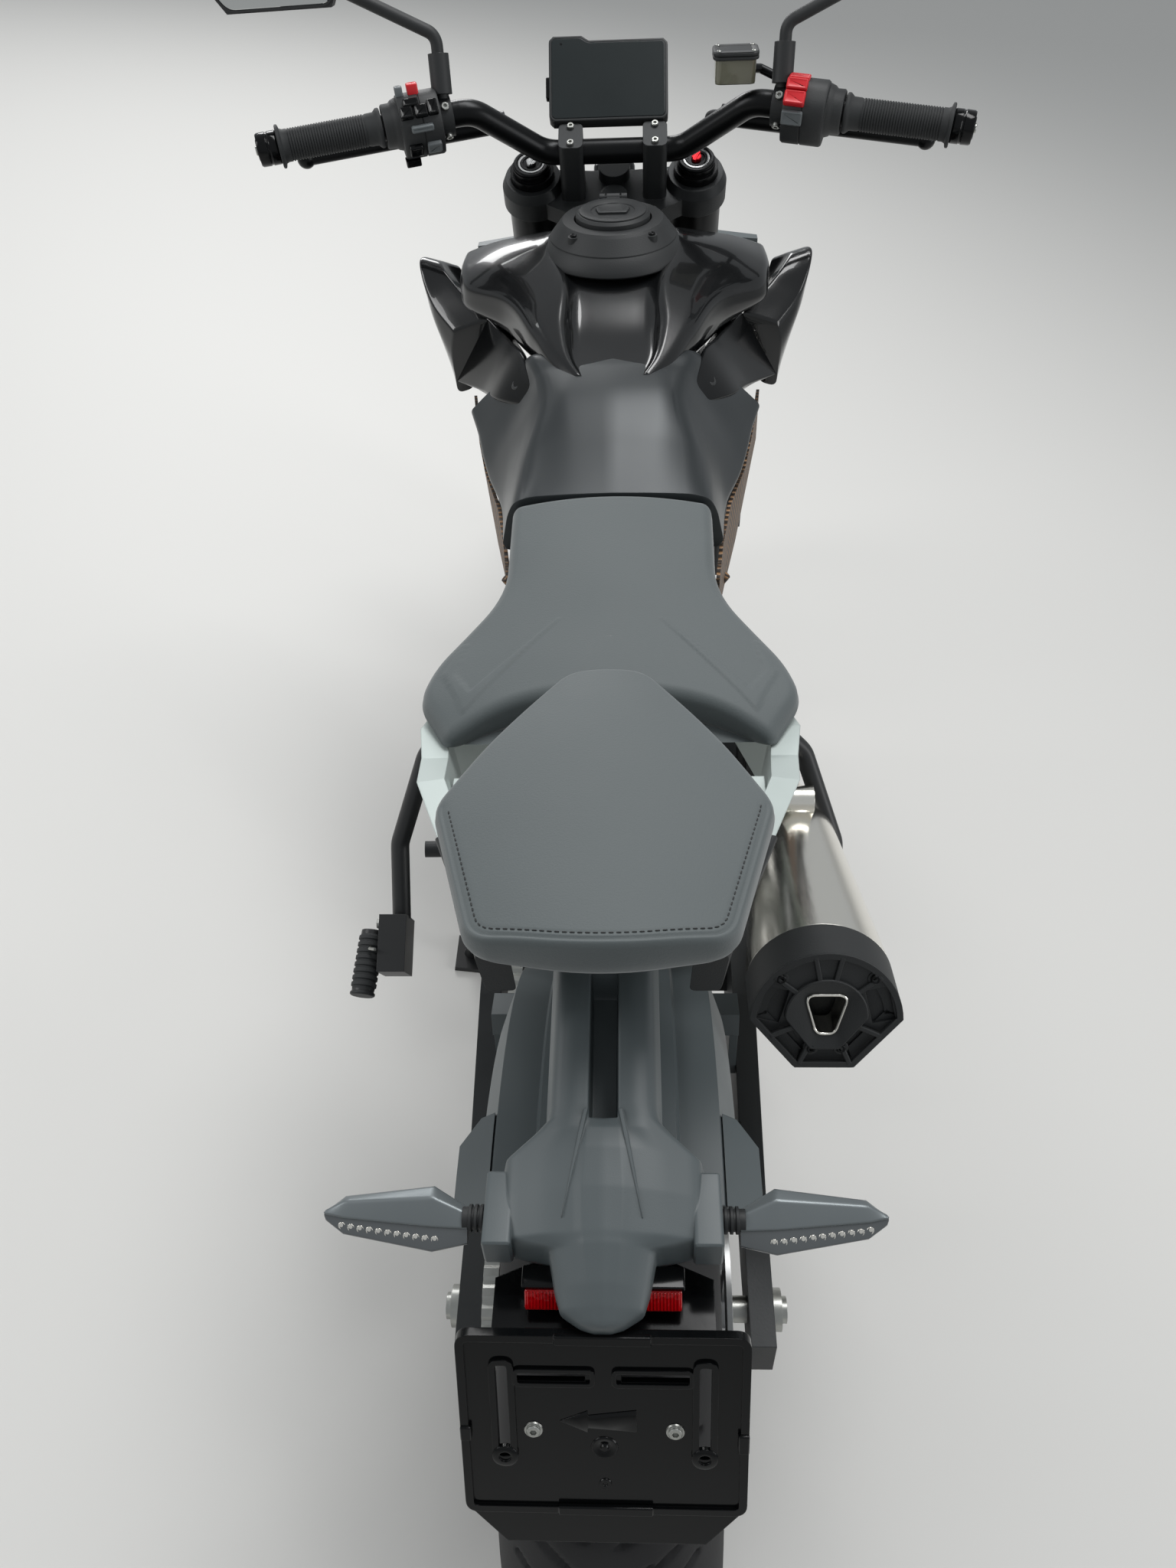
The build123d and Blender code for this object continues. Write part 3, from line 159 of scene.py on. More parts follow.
def speckled(name, hexCode, roughness, settings):
    look = {**usualFinish, **settings}
    material, tree, shader, coords = newMaterial(name)
    base = colour(hexCode)
    cloud = addNode(tree, "TexNoise", {"Scale": grainScale(look["cloudSize"]), "Detail": 3},
                    {"Vector": coords})
    darker = tuple(c * (1 - look["cloud"]) for c in base[:3]) + (1,)
    lighter = tuple(min(1, c * (1 + look["cloud"])) for c in base[:3]) + (1,)
    tone = addNode(tree, "Mix", {"data_type": "RGBA", 6: darker, 7: lighter}, {0: cloud.outputs["Fac"]})
    tree.links.new(tone.outputs[2], shader.inputs["Base Color"])
    smoothest, roughest = roughness - look["roughSpread"], roughness + look["roughSpread"]
    rough = addNode(tree, "MapRange", {"To Min": smoothest, "To Max": roughest},
                    {"Value": cloud.outputs["Fac"]})
    tree.links.new(rough.outputs[0], shader.inputs["Roughness"])
    grain = addNode(tree, "TexNoise", {"Scale": grainScale(look["grain"]), "Detail": 2}, {"Vector": coords})
    links = {"Height": grain.outputs["Fac"]}
    if look["edge"]:
        links["Normal"] = addNode(tree, "Bevel", {"samples": 4, "Radius": look["edge"] * mm}).outputs[0]
    bump = addNode(tree, "Bump", {"Strength": 1.0, "Distance": look["height"] * mm}, links)
    tree.links.new(bump.outputs[0], shader.inputs["Normal"])
    for socket, value in look["shader"].items():
        shader.inputs[socket].default_value = value
    return material


def syntheticLeather():  # PVC-coated knit with a fine embossed grain: matt, slightly cloudy, soft sheen
    return speckled("syntheticLeather", "#484f50", 0.62, {
        "grain": 1.6, "height": 0.16, "cloud": 0.06, "cloudSize": 45, "roughSpread": 0.05,
        "shader": {"Sheen Weight": 0.25, "Sheen Roughness": 0.5}})


def threadBlack():  # bonded polyester sewing thread: matt, darker than the cover
    return speckled("threadBlack", "#1a1c1d", 0.6, {"grain": 0.6, "height": 0.08, "cloud": 0.1})


def lacqueredBlack():  # black enamel under clear lacquer: deep gloss, a faint orange-peel ripple
    return speckled("lacqueredBlack", "#0e0f10", 0.2, {
        "grain": 9, "height": 0.02, "cloud": 0.1, "roughSpread": 0.03, "edge": 1.2,
        "shader": {"Specular IOR Level": 0.3, "Coat Weight": 0.55, "Coat Roughness": 0.03}})


def mattMetallic():  # dark grey base coat under matt lacquer: soft broad highlight, fine flake
    return speckled("mattMetallic", "#292d2f", 0.36, {
        "grain": 0.8, "height": 0.015, "cloud": 0.04, "roughSpread": 0.03, "edge": 1.2,
        "shader": {"Metallic": 0.35, "Coat Weight": 0.15, "Coat Roughness": 0.35}})


def leafGrey():  # moulded ABS painted gunmetal: satin with a light flake
    return speckled("leafGrey", "#6d7375", 0.34, {
        "grain": 0.9, "height": 0.02, "cloud": 0.05, "edge": 0.8, "shader": {"Metallic": 0.45}})


def sparkedPolypropylene():  # black polypropylene from a spark-eroded mould: dull, evenly pitted
    return speckled("sparkedPolypropylene", "#1f2122", 0.58, {
        "grain": 1.4, "height": 0.12, "cloud": 0.1, "edge": 0.9})


def charcoalAbs():  # charcoal moulded ABS: satin, with soft edge highlights
    return speckled("charcoalAbs", "#4c5355", 0.46, {"height": 0.04, "cloud": 0.06, "edge": 1.0})


def glossAbs():  # gloss black moulded ABS: sharp reflections, slightly wavy
    return speckled("glossAbs", "#08090a", 0.14, {
        "grain": 8, "height": 0.02, "cloud": 0.1, "edge": 0.8, "shader": {"Specular IOR Level": 0.22}})


def redAbs():  # red moulded ABS: satin switch caps
    return speckled("redAbs", "#c21822", 0.38, {"grain": 0.9, "cloud": 0.04, "edge": 0.4})


def greyAbs():  # mid grey moulded ABS: satin switch caps
    return speckled("greyAbs", "#5b6062", 0.45, {"grain": 0.9, "cloud": 0.04, "edge": 0.4})


def tyreRubber():  # carbon-filled rubber: near black, faintly dusty
    return speckled("tyreRubber", "#1b1b1c", 0.78, {
        "grain": 2.2, "height": 0.12, "cloud": 0.18, "cloudSize": 60, "roughSpread": 0.08})


def gripRubber():  # moulded grip rubber: dull with a skin-fine texture
    return speckled("gripRubber", "#232526", 0.7, {"grain": 1.2, "height": 0.08, "cloud": 0.1, "edge": 0.5})


def powderCoat():  # black powder coat on steel: low gloss with a soft ripple
    return speckled("powderCoat", "#191a1b", 0.42, {"grain": 3.0, "height": 0.05, "cloud": 0.1, "edge": 1.0})


def silverPowderCoat():  # pale silver powder coat on cast rails: soft metallic grey
    return speckled("silverPowderCoat", "#b4bdba", 0.5, {
        "grain": 2.0, "height": 0.05, "cloud": 0.05, "edge": 1.5, "shader": {"Metallic": 0.3}})


def groundSteel():  # ground steel: bright, faintly grey
    return speckled("groundSteel", "#9a9b9b", 0.3, {"grain": 0.9, "edge": 0.4, "shader": {"Metallic": 1.0}})


def castAluminium():  # painted cast aluminium: dark satin with a sand-cast ripple
    return speckled("castAluminium", "#2a2c2d", 0.5, {
        "grain": 2.6, "height": 0.1, "cloud": 0.1, "edge": 1.4, "shader": {"Metallic": 0.4}})


def anodisedBlack():  # turned aluminium, anodised black: a tight grey highlight
    return speckled("anodisedBlack", "#141516", 0.32, {
        "grain": 0.8, "height": 0.02, "edge": 0.8, "shader": {"Metallic": 0.7}})


def anodisedRed():  # turned aluminium, anodised red: a bright metallic red
    return speckled("anodisedRed", "#b3121d", 0.3, {
        "grain": 0.8, "height": 0.02, "cloud": 0.05, "edge": 0.4, "shader": {"Metallic": 0.8}})


def hardChrome():  # ground hard chrome on steel tube: mirror bright with a hint of grind
    return speckled("hardChrome", "#b9bbbd", 0.12, {
        "grain": 0.8, "height": 0.006, "cloud": 0.03, "roughSpread": 0.03, "shader": {"Metallic": 1.0}})


def zincPlate():  # zinc-plated steel: pale, a little uneven
    return speckled("zincPlate", "#a9aaa6", 0.34, {
        "height": 0.04, "cloud": 0.15, "cloudSize": 12, "edge": 0.3, "shader": {"Metallic": 1.0}})


def redLens():  # red moulded acrylic: glossy and slightly see-through
    return speckled("redLens", "#c00a12", 0.12, {
        "grain": 3.2, "height": 0.3, "cloud": 0.05, "shader": {"Transmission Weight": 0.25, "IOR": 1.49}})


def clearLens():  # clear fluted acrylic over a bright reflector: glassy white
    return speckled("clearLens", "#e9edee", 0.08, {
        "grain": 3.5, "height": 0.5, "cloud": 0.12, "cloudSize": 6,
        "shader": {"Transmission Weight": 0.35, "IOR": 1.49, "Coat Weight": 0.5}})


def smokedLens():  # smoke-tinted acrylic over a dark reflector: smooth and glossy
    return speckled("smokedLens", "#4a4e50", 0.1, {
        "grain": 6, "height": 0.02, "cloud": 0.1, "shader": {"Coat Weight": 1.0, "Coat Roughness": 0.04}})


def clearGlass():  # hard-coated clear polycarbonate: clear, with sharp reflections
    return speckled("clearGlass", "#fafcfc", 0.02, {
        "grain": 12, "height": 0.005, "cloud": 0.02, "roughSpread": 0.01,
        "shader": {"Transmission Weight": 1.0, "IOR": 1.3}})


def smokedPolycarbonate():  # blow-moulded polycarbonate cup: yellowish and see-through
    return speckled("smokedPolycarbonate", "#b7b59c", 0.1, {
        "grain": 6, "height": 0.02, "cloud": 0.05, "shader": {"Transmission Weight": 0.7, "IOR": 1.58}})


def screenGlass():  # bonded screen glass, switched off: nearly black, half gloss
    return speckled("screenGlass", "#101819", 0.22, {
        "grain": 10, "height": 0.004, "cloud": 0.1, "roughSpread": 0.02, "edge": 0.6})


def mirrorGlass():  # silvered glass: a clean mirror
    return speckled("mirrorGlass", "#d9dcdc", 0.03, {
        "grain": 20, "height": 0.002, "cloud": 0.01, "roughSpread": 0.01, "shader": {"Metallic": 1.0}})


def polishedStainless():  # rolled and polished stainless sheet: long soft reflections, faint brush marks
    brushMark = 1.2  # millimetres across the marks
    material, tree, shader, coords = newMaterial("polishedStainless")
    shader.inputs["Base Color"].default_value = colour("#efece4")
    shader.inputs["Metallic"].default_value = 1
    stretch = addNode(tree, "Mapping", {"Scale": (1, 0.04, 0.12)}, {"Vector": coords})
    brush = addNode(tree, "TexNoise", {"Scale": grainScale(brushMark), "Detail": 3},
                    {"Vector": stretch.outputs[0]})
    rough = addNode(tree, "MapRange", {"To Min": 0.12, "To Max": 0.26}, {"Value": brush.outputs["Fac"]})
    tree.links.new(rough.outputs[0], shader.inputs["Roughness"])
    bevel = addNode(tree, "Bevel", {"samples": 4, "Radius": 0.8 * mm})
    bump = addNode(tree, "Bump", {"Strength": 1.0, "Distance": 0.01 * mm},
                   {"Height": brush.outputs["Fac"], "Normal": bevel.outputs[0]})
    tree.links.new(bump.outputs[0], shader.inputs["Normal"])
    return material


def bronzeWeave():  # moulded grille with a bronze cord weave: warm dark brown with a thread pattern
    strand = 7  # millimetres, coarser than the real weave so that it shows
    material, tree, shader, coords = newMaterial("bronzeWeave")
    turned = addNode(tree, "Mapping", {"Rotation": (0.8, 0, 0)}, {"Vector": coords})
    waveScale = grainScale(strand) * math.pi / 10
    threads = []
    for direction in ("Y", "Z"):
        settings = {"bands_direction": direction, "Scale": waveScale, "Distortion": 1.5}
        threads.append(addNode(tree, "TexWave", settings, {"Vector": turned.outputs[0]}).outputs["Fac"])
    weave = addNode(tree, "Math", {"operation": "MULTIPLY"}, {0: threads[0], 1: threads[1]})
    tone = addNode(tree, "Mix", {"data_type": "RGBA", 6: colour("#1d1712"), 7: colour("#a07a55")},
                   {0: weave.outputs[0]})
    tree.links.new(tone.outputs[2], shader.inputs["Base Color"])
    shader.inputs["Roughness"].default_value = 0.5
    shader.inputs["Metallic"].default_value = 0.3
    bump = addNode(tree, "Bump", {"Strength": 1.0, "Distance": 1.2 * mm}, {"Height": weave.outputs[0]})
    tree.links.new(bump.outputs[0], shader.inputs["Normal"])
    return material


# The record's slot behind each finish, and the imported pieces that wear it
finishTable = [
    (tyreRubber, "tyre", ["front_tyre", "rear_tyre"]),
    (powderCoat, "frame_paint", ["front_rim", "rear_rim", "frame", "pillion_footrests", "side_stand"]),
    (groundSteel, "steel", ["front_discs", "rear_disc"]),
    (zincPlate, "steel", ["rear_sprocket", "chain", "front_axle", "rear_axle", "shock"]),
    (hardChrome, "steel", ["fork_sliders"]),
    (polishedStainless, "steel", ["exhaust_headers", "silencer"]),
    (anodisedBlack, "black_alloy", ["fork_outers", "front_calipers", "rear_caliper", "handlebar", "levers"]),
    (castAluminium, "cast_alloy", ["fork_clamps", "swingarm", "crankcase", "cylinder_head", "radiator",
                                   "rider_footrests"]),
    (silverPowderCoat, "silver_casting", ["subframe"]),
    (sparkedPolypropylene, "charcoal", ["front_mudguard", "switchgear", "mirrors", "display", "silencer_cap",
                                        "filler_ring", "fuel_lid"]),
    (charcoalAbs, "charcoal", ["hugger", "front_indicators", "plate_carrier", "rear_indicators"]),
    (leafGrey, "charcoal", []),
    (gripRubber, "grip_rubber", ["grips", "brake_hoses"]),
    (glossAbs, "gloss_black", ["headlight", "plate_frame"]),
    (lacqueredBlack, "gloss_black", ["tank_cover", "tank_spoilers"]),
    (mattMetallic, "satin_grey", ["tank_rear_cover"]),
    (bronzeWeave, "bronze_mesh", ["side_panels"]),
    (syntheticLeather, "seat_cover", ["rider_seat", "pillion_seat"]),
    (threadBlack, "seat_cover", []),
    (redLens, "red_lens", ["tail_lamp"]),
    (screenGlass, "glass_black", []),
    (mirrorGlass, "glass_black", []),
]
finishes = {}


def use(make):  # each finish is made once
    if make not in finishes:
        finishes[make] = make()
    return finishes[make]


for make, slot, worn in finishTable:
    for name in worn:
        nodes[name].data.materials.clear()
        nodes[name].data.materials.append(use(make))
print("finishes given to the packed pieces")


# Floor and light, in metres and watts

studio = {
    "reach": 30,
    "floorTone": "#cfcecb",
    "floorRoughness": 0.6,
    "airTone": "#dfe3e6",
    "airStrength": 0.55,
}
# place, width and depth, power, what it is aimed at
lamps = {
    "ceilingPanel": ((0.4, 0.6, 4.2), (2.6, 1.1), 95, (0, 0.2, 0.6)),
    "frontPanel": ((-1.6, 4.4, 3.0), (2.4, 1.6), 90, (0, 0, 0.6)),
    "leftPanel": ((-4.0, -0.8, 2.6), (1.2, 2.4), 55, (0, 0, 0.6)),
    "rightPanel": ((4.0, -1.4, 2.2), (1.2, 2.4), 40, (0, 0, 0.6)),
}


def makeFloor():
    reach = studio["reach"]
    ground = bpy.data.meshes.new("floor")
    ground.from_pydata([(-reach, -reach, 0), (reach, -reach, 0), (reach, reach, 0), (-reach, reach, 0)], [],
                       [(0, 1, 2, 3)])
    floor = bpy.data.objects.new("floor", ground)
    bpy.context.scene.collection.objects.link(floor)
    paint, tree, shader, coords = newMaterial("paleFloor")
    shader.inputs["Base Color"].default_value = colour(studio["floorTone"])
    shader.inputs["Roughness"].default_value = studio["floorRoughness"]
    ground.materials.append(paint)


def makeLight():
    world = bpy.data.worlds.new("studio")
    bpy.context.scene.world = world
    world.use_nodes = True
    back = world.node_tree.nodes["Background"]
    back.inputs[0].default_value = colour(studio["airTone"])
    back.inputs[1].default_value = studio["airStrength"]
    for name, (place, size, power, target) in lamps.items():
        data = bpy.data.lights.new(name, "AREA")
        data.shape = "RECTANGLE"
        data.size, data.size_y = size
        data.energy = power
        lamp = bpy.data.objects.new(name, data)
        bpy.context.scene.collection.objects.link(lamp)
        lamp.location = place
        lamp.rotation_euler = (Vector(target) - Vector(place)).to_track_quat("-Z", "Y").to_euler()
    bpy.context.scene.view_settings.view_transform = "Standard"


makeFloor()
makeLight()


# Mesh helpers. Points are local millimetres and faces are lists of indices

weldDistance = 0.01 * mm


def addPiece(name, points, faces, make, body, place=bike, sharp=None):
    turn = np.array(place)
    world = np.asarray(points, float) @ turn[:3, :3].T + turn[:3, 3]
    mesh = bpy.data.meshes.new(name)
    mesh.from_pydata(world.tolist(), [], [tuple(face) for face in faces])
    shape = bmesh.new()
    shape.from_mesh(mesh)
    bmesh.ops.remove_doubles(shape, verts=shape.verts, dist=weldDistance)
    bmesh.ops.dissolve_degenerate(shape, edges=shape.edges, dist=weldDistance)
    bmesh.ops.recalc_face_normals(shape, faces=shape.faces)
    shape.to_mesh(mesh)
    shape.free()
    mesh.materials.append(use(make))
    mesh.polygons.foreach_set("use_smooth", [True] * len(mesh.polygons))
    if sharp:
        mesh.set_sharp_from_angle(angle=math.radians(sharp))
    piece = bpy.data.objects.new(name, mesh)
    bpy.context.scene.collection.objects.link(piece)
    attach(piece, body)
    return piece


def gridFaces(rows, columns, closedRows=False, closedColumns=False, start=0):
    faces = []
    for r in range(rows if closedRows else rows - 1):
        for c in range(columns if closedColumns else columns - 1):
            after, beside = (r + 1) % rows, (c + 1) % columns
            faces.append([start + i for i in (r * columns + c, r * columns + beside,
                                              after * columns + beside, after * columns + c)])
    return faces


def smoothThrough(keys, values, samples):  # a smooth curve through a table's rows
    keys, values, samples = np.array(keys, float), np.array(values, float), np.array(samples, float)
    slopes = np.gradient(values, keys, axis=0)
    low = np.clip(np.searchsorted(keys, samples, side="right") - 1, 0, len(keys) - 2)
    span = keys[low + 1] - keys[low]
    t = np.clip((samples - keys[low]) / span, 0, 1)
    shape = (len(samples),) + (1,) * (values.ndim - 1)
    t, span = t.reshape(shape), span.reshape(shape)
    return ((2 * t**3 - 3 * t**2 + 1) * values[low] + (t**3 - 2 * t**2 + t) * span * slopes[low]
            + (3 * t**2 - 2 * t**3) * values[low + 1] + (t**3 - t**2) * span * slopes[low + 1])


cornerShare = 0.46  # of a side, the most that the rounding of one corner takes


def roundedRing(corners, radii, arcSteps=4, edgeSteps=2, closed=True):  # a polygon with its corners rounded
    corners = [np.array(corner, float) for corner in corners]
    count = len(corners)
    points = []
    for i, corner in enumerate(corners):
        if not closed and i in (0, count - 1):
            points.append(corner)
            continue
        before, after = corners[i - 1] - corner, corners[(i + 1) % count] - corner
        toBefore, toAfter = np.linalg.norm(before), np.linalg.norm(after)
        cut = min(radii[i], cornerShare * toBefore, cornerShare * toAfter)
        first = corner + before / toBefore * cut
        last = corner + after / toAfter * cut
        for step in range(arcSteps + 1):
            t = step / arcSteps
            points.append((1 - t)**2 * first + 2 * t * (1 - t) * corner + t**2 * last)
        reach = min(radii[(i + 1) % count], cornerShare * toAfter)
        target = corners[(i + 1) % count] - after / toAfter * reach
        for step in range(1, edgeSteps + 1):
            points.append(last + (target - last) * step / (edgeSteps + 1))
    return np.array(points)


def wholeRing(corners, radii):  # a section's right half, closed below and mirrored, with rounded corners
    right = [*zip(corners, radii), ((0, corners[-1][1]), 0)]
    left = [((-x, z), radius) for (x, z), radius in reversed(right) if x > 0]
    return roundedRing(*zip(*right, *left), 5, 3)


def lineLength(line):
    return np.sum(np.linalg.norm(np.diff(line, axis=0), axis=1))


def evenly(points, count, closed=True):  # the same line with evenly spaced points
    points = np.array(points, float)
    line = np.vstack([points, points[:1]]) if closed else points
    along = np.concatenate([[0], np.cumsum(np.linalg.norm(np.diff(line, axis=0), axis=1))])
    places = np.linspace(0, along[-1], count + 1)[:-1] if closed else np.linspace(0, along[-1], count)
    return np.stack([np.interp(places, along, line[:, k]) for k in range(line.shape[1])], axis=1)


def toPolygon(points, polygon):  # distance to a polygon's edge, negative inside it
    points, polygon = np.asarray(points, float), np.asarray(polygon, float)
    nearest = np.full(len(points), 1e9)
    inside = np.zeros(len(points), bool)
    for a, b in zip(polygon, np.roll(polygon, -1, axis=0)):
        edge = b - a
        t = np.clip((points - a) @ edge / max(edge @ edge, 1e-9), 0, 1)
        nearest = np.minimum(nearest, np.linalg.norm(points - a - t[:, None] * edge, axis=1))
        crosses = (a[1] > points[:, 1]) != (b[1] > points[:, 1])
        if abs(edge[1]) > 1e-9:
            inside ^= crosses & (points[:, 0] < a[0] + (points[:, 1] - a[1]) / edge[1] * edge[0])
    return np.where(inside, -nearest, nearest)


def toSegment(points, a, b):  # distance to the line between two points
    a, b = np.array(a, float), np.array(b, float)
    t = np.clip((points - a) @ (b - a) / ((b - a) @ (b - a)), 0, 1)
    return np.linalg.norm(points - a - t[:, None] * (b - a), axis=1)


def easeStep(value, width):  # 1 below 0, easing to 0 over the width
    t = np.clip(np.asarray(value) / width, 0, 1)
    return 1 - t * t * (3 - 2 * t)


# Seats: moulded foam under a tight cover, with an outline drawn from above

riderCushion = {
    "node": "rider_seat",
    "points": 560,
    # x, y, corner radius of the right half, from the front
    "outline": [(105, 625, 12), (103, 488, 40), (163, 392, 30), (175, 352, 22), (144, 297, 12),
                (90, 330, 30)],
    "front": 626,
    "rear": 345,
    # y, half width, edge height, crown height
    "heights": [(250, 150, 798, 822), (300, 160, 799, 825), (345, 174, 808, 827), (384, 160, 814, 830),
                (430, 134, 820, 834), (484, 104, 828, 841), (560, 103, 836, 848), (626, 106, 842, 854)],
    # y, base height
    "base": [(250, 789), (380, 791), (626, 811)],
    "rounding": 11,
    "spine": (410, 575),
    # a raised chevron on each rear wing: x, y on the right side
    "chevron": [(48, 435), (130, 324), (153, 373), (138, 413), (134, 413), (142, 372), (126, 346)],
    "chevronRise": 1.3,
    "chevronEdge": (0.4, 1.6),  # how far out its slope starts, and the slope's width
    "ripple": (60, 0.5),  # size across, rise
}
pillionCushion = {
    "node": "pillion_seat",
    "points": 480,
    "outline": [(33, 307, 14), (84, 240, 50), (130, 156, 14), (91, 20, 18)],
    "front": 308,
    "rear": 1,
    "heights": [(-4, 88, 874, 889), (50, 106, 870, 888), (110, 126, 866, 886), (156, 130, 865, 885),
                (205, 112, 866, 884), (262, 74, 868, 881), (310, 46, 869, 876)],
    "base": [(-4, 852), (110, 844), (205, 838), (310, 834)],
    "rounding": 6.5,
    "spine": (70, 270),
    # the sewn seam runs round the rear, up to seamFront: how far inside the outline, rise, half width
    "seamFront": 150,
    "seam": {"groove": (6, -1.6, 1.3), "welt": (2.8, 0.9, 1.8), "stitches": (10.5, -0.5, 1.2)},
    "ripple": (70, 0.6),
}
endRadii = (400, 300)  # of the outline, on the middle line at the front and the rear
rippleFade = 20  # how far inside the outline the cover's ripple is full
# inset and share of the side's height, from the base up
sideSteps = [(9, 0), (5, 0), (1.6, 0.2), (-0.6, 0.5), (-0.8, 0.8)]
# share of the way from the outline to the spine
topSteps = [0, 0.004, 0.01, 0.018, 0.028, 0.04, 0.053, 0.067, 0.082, 0.098, *np.linspace(0.115, 0.985, 62)]


def cushionOutline(cushion):  # evenly spaced, from the middle of the front
    half = cushion["outline"]
    right = [(0, cushion["front"], endRadii[0])] + half + [(0, cushion["rear"], endRadii[1])]
    ring = right + [(-x, y, r) for x, y, r in reversed(half)]
    line = roundedRing([point[:2] for point in ring], [point[2] for point in ring], 8, 4)
    line = evenly(line, cushion["points"])
    first = int(np.argmax(line[:, 1] - 4 * np.abs(line[:, 0])))
    turned = np.roll(line, -first, axis=0)
    middle = len(turned) // 2
    right = turned[:middle + 1] if turned[middle // 2, 0] > 0 else turned[::-1][:middle + 1]
    right[0, 0] = right[-1, 0] = 0
    return np.vstack([right, right[1:-1][::-1] * (-1, 1)])


def topHeight(cushion, x, y):
    keys = [row[0] for row in cushion["heights"]]
    wide, edge, crown = smoothThrough(keys, [row[1:] for row in cushion["heights"]], y).T
    return edge + (crown - edge) * np.clip(1 - (np.abs(x) / wide)**2, 0, 1)


def riderDetail(flat, inside):
    mirrored = np.column_stack([np.abs(flat[:, 0]), flat[:, 1]])
    out, width = riderCushion["chevronEdge"]
    return easeStep(toPolygon(mirrored, riderCushion["chevron"]) + out, width) * riderCushion["chevronRise"]


def pillionDetail(flat, inside):
    sewn = sum(rise * np.exp(-((inside - place) / width)**2)
               for place, rise, width in pillionCushion["seam"].values())
    return sewn * easeStep(flat[:, 1] - pillionCushion["seamFront"], 8)


def makeCushion(name, cushion, detail):
    outline = cushionOutline(cushion)
    count = len(outline)
    spine = np.stack([np.zeros(count), np.clip(outline[:, 1], *cushion["spine"])], axis=1)
    inward = (spine - outline) / np.linalg.norm(spine - outline, axis=1)[:, None]
    radius = cushion["rounding"]
    base = np.interp(outline[:, 1], *np.array(cushion["base"]).T)
    rim = topHeight(cushion, outline[:, 0], outline[:, 1]) - radius
    loops = [np.column_stack([outline + inward * inset, base + (rim - base) * share])
             for inset, share in sideSteps]
    rippleSize, rippleRise = cushion["ripple"]
    for depth in topSteps:
        flat = outline + (spine - outline) * depth
        inside = np.maximum(-toPolygon(flat, outline), 0) if depth else np.zeros(count)
        drop = radius - np.sqrt(np.maximum(radius**2 - np.maximum(radius - inside, 0)**2, 0))
        ripple = np.array([noise.noise((x / rippleSize, y / rippleSize, 3.7)) for x, y in flat]) * rippleRise
        top = topHeight(cushion, flat[:, 0], flat[:, 1]) - drop
        height = top + detail(flat, inside) + ripple * np.clip(inside / rippleFade, 0, 1)
        loops.append(np.column_stack([flat, height]))
    faces = gridFaces(len(loops), count, closedColumns=True)
    for start in (0, (len(loops) - 1) * count):  # the base and the top's middle are closed straight across
        for i in range(count // 2):
            ladder = [start + i, start + i + 1, start + (count - i - 1) % count, start + (count - i) % count]
            faces.append(list(dict.fromkeys(ladder)))
    piece = addPiece(name, np.vstack(loops), faces, syntheticLeather, "chassis")
    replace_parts(piece, cushion["node"])
    return outline


stitch = {"length": 3.4, "pitch": 5.0, "radius": 0.55, "sides": 6}
# place along a stitch, thickness there
stitchRings = [(-0.5, 0.35), (-0.3, 1), (0.3, 1), (0.5, 0.35)]


def makeStitches(outline):
    seamFront = pillionCushion["seamFront"]
    centre = np.array([0, 120])
    inset = []
    for before, point, after in zip(np.roll(outline, 1, axis=0), outline, np.roll(outline, -1, axis=0)):
        along = (after - before) / np.linalg.norm(after - before)
        inward = np.array([-along[1], along[0]])
        if inward @ (centre - point) < 0:
            inward = -inward
        inset.append(point + inward * pillionCushion["seam"]["stitches"][0])
    start = next(i for i in range(len(inset)) if inset[i - 1][1] >= seamFront > inset[i][1])
    row = [point for point in inset[start:] + inset[:start] if point[1] < seamFront]
    line = evenly(row, int(lineLength(row) / stitch["pitch"]), closed=False)
    sides = stitch["sides"]
    points, faces = [], []
    for here, there in zip(line[:-1], line[1:]):
        along = (there - here) / np.linalg.norm(there - here)
        side = np.array([-along[1], along[0]])
        first = len(points)
        for reach, thick in stitchRings:
            middle = here + along * reach * stitch["length"]
            height = topHeight(pillionCushion, middle[:1], middle[1:])[0] - 0.1
            for turn in range(sides):
                angle = 2 * math.pi / sides * turn
                spot = middle + side * math.cos(angle) * stitch["radius"] * thick
                points.append((spot[0], spot[1], height + math.sin(angle) * stitch["radius"] * thick))
        faces += gridFaces(len(stitchRings), sides, closedColumns=True, start=first)
        faces += [list(range(first, first + sides)), list(range(len(points) - sides, len(points)))]
    addPiece("pillionStitches", points, faces, threadBlack, "chassis")


makeCushion("riderCushion", riderCushion, riderDetail)
makeStitches(makeCushion("pillionCushion", pillionCushion, pillionDetail))
print("seats made")


# Painted covers: the machine's own sections with softly rounded ridges

coverEndShare = 1 - 2.5 / 60  # a cover's closed ends draw in a little, to 0.4 mm beyond its last section


def loftedShell(name, sections, radii, rows, make, replaces, mirrored=True):  # a section is y, *(x, z)
    sections = sorted(sections)
    keys = [section[0] for section in sections]
    rings = []
    for y, *corners in sections:
        rings.append(wholeRing(corners, radii) if mirrored else roundedRing(corners, radii, 5, 3))
    spread = np.linspace(keys[0], keys[-1], rows)
    body = smoothThrough(keys, rings, spread)
    ends = [ring.mean(axis=0) + (ring - ring.mean(axis=0)) * coverEndShare for ring in (body[0], body[-1])]
    layers = [(keys[0] - 0.4, ends[0]), *zip(spread, body), (keys[-1] + 0.4, ends[1])]
    points = [(x, y, z) for y, ring in layers for x, z in ring]
    around = len(ends[0])
    faces = gridFaces(len(layers), around, closedColumns=True)
    faces += [list(range(around)), list(range(len(points) - around, len(points)))]
    piece = addPiece(name, points, faces, make, "chassis", sharp=38)
    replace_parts(piece, replaces)
    return piece


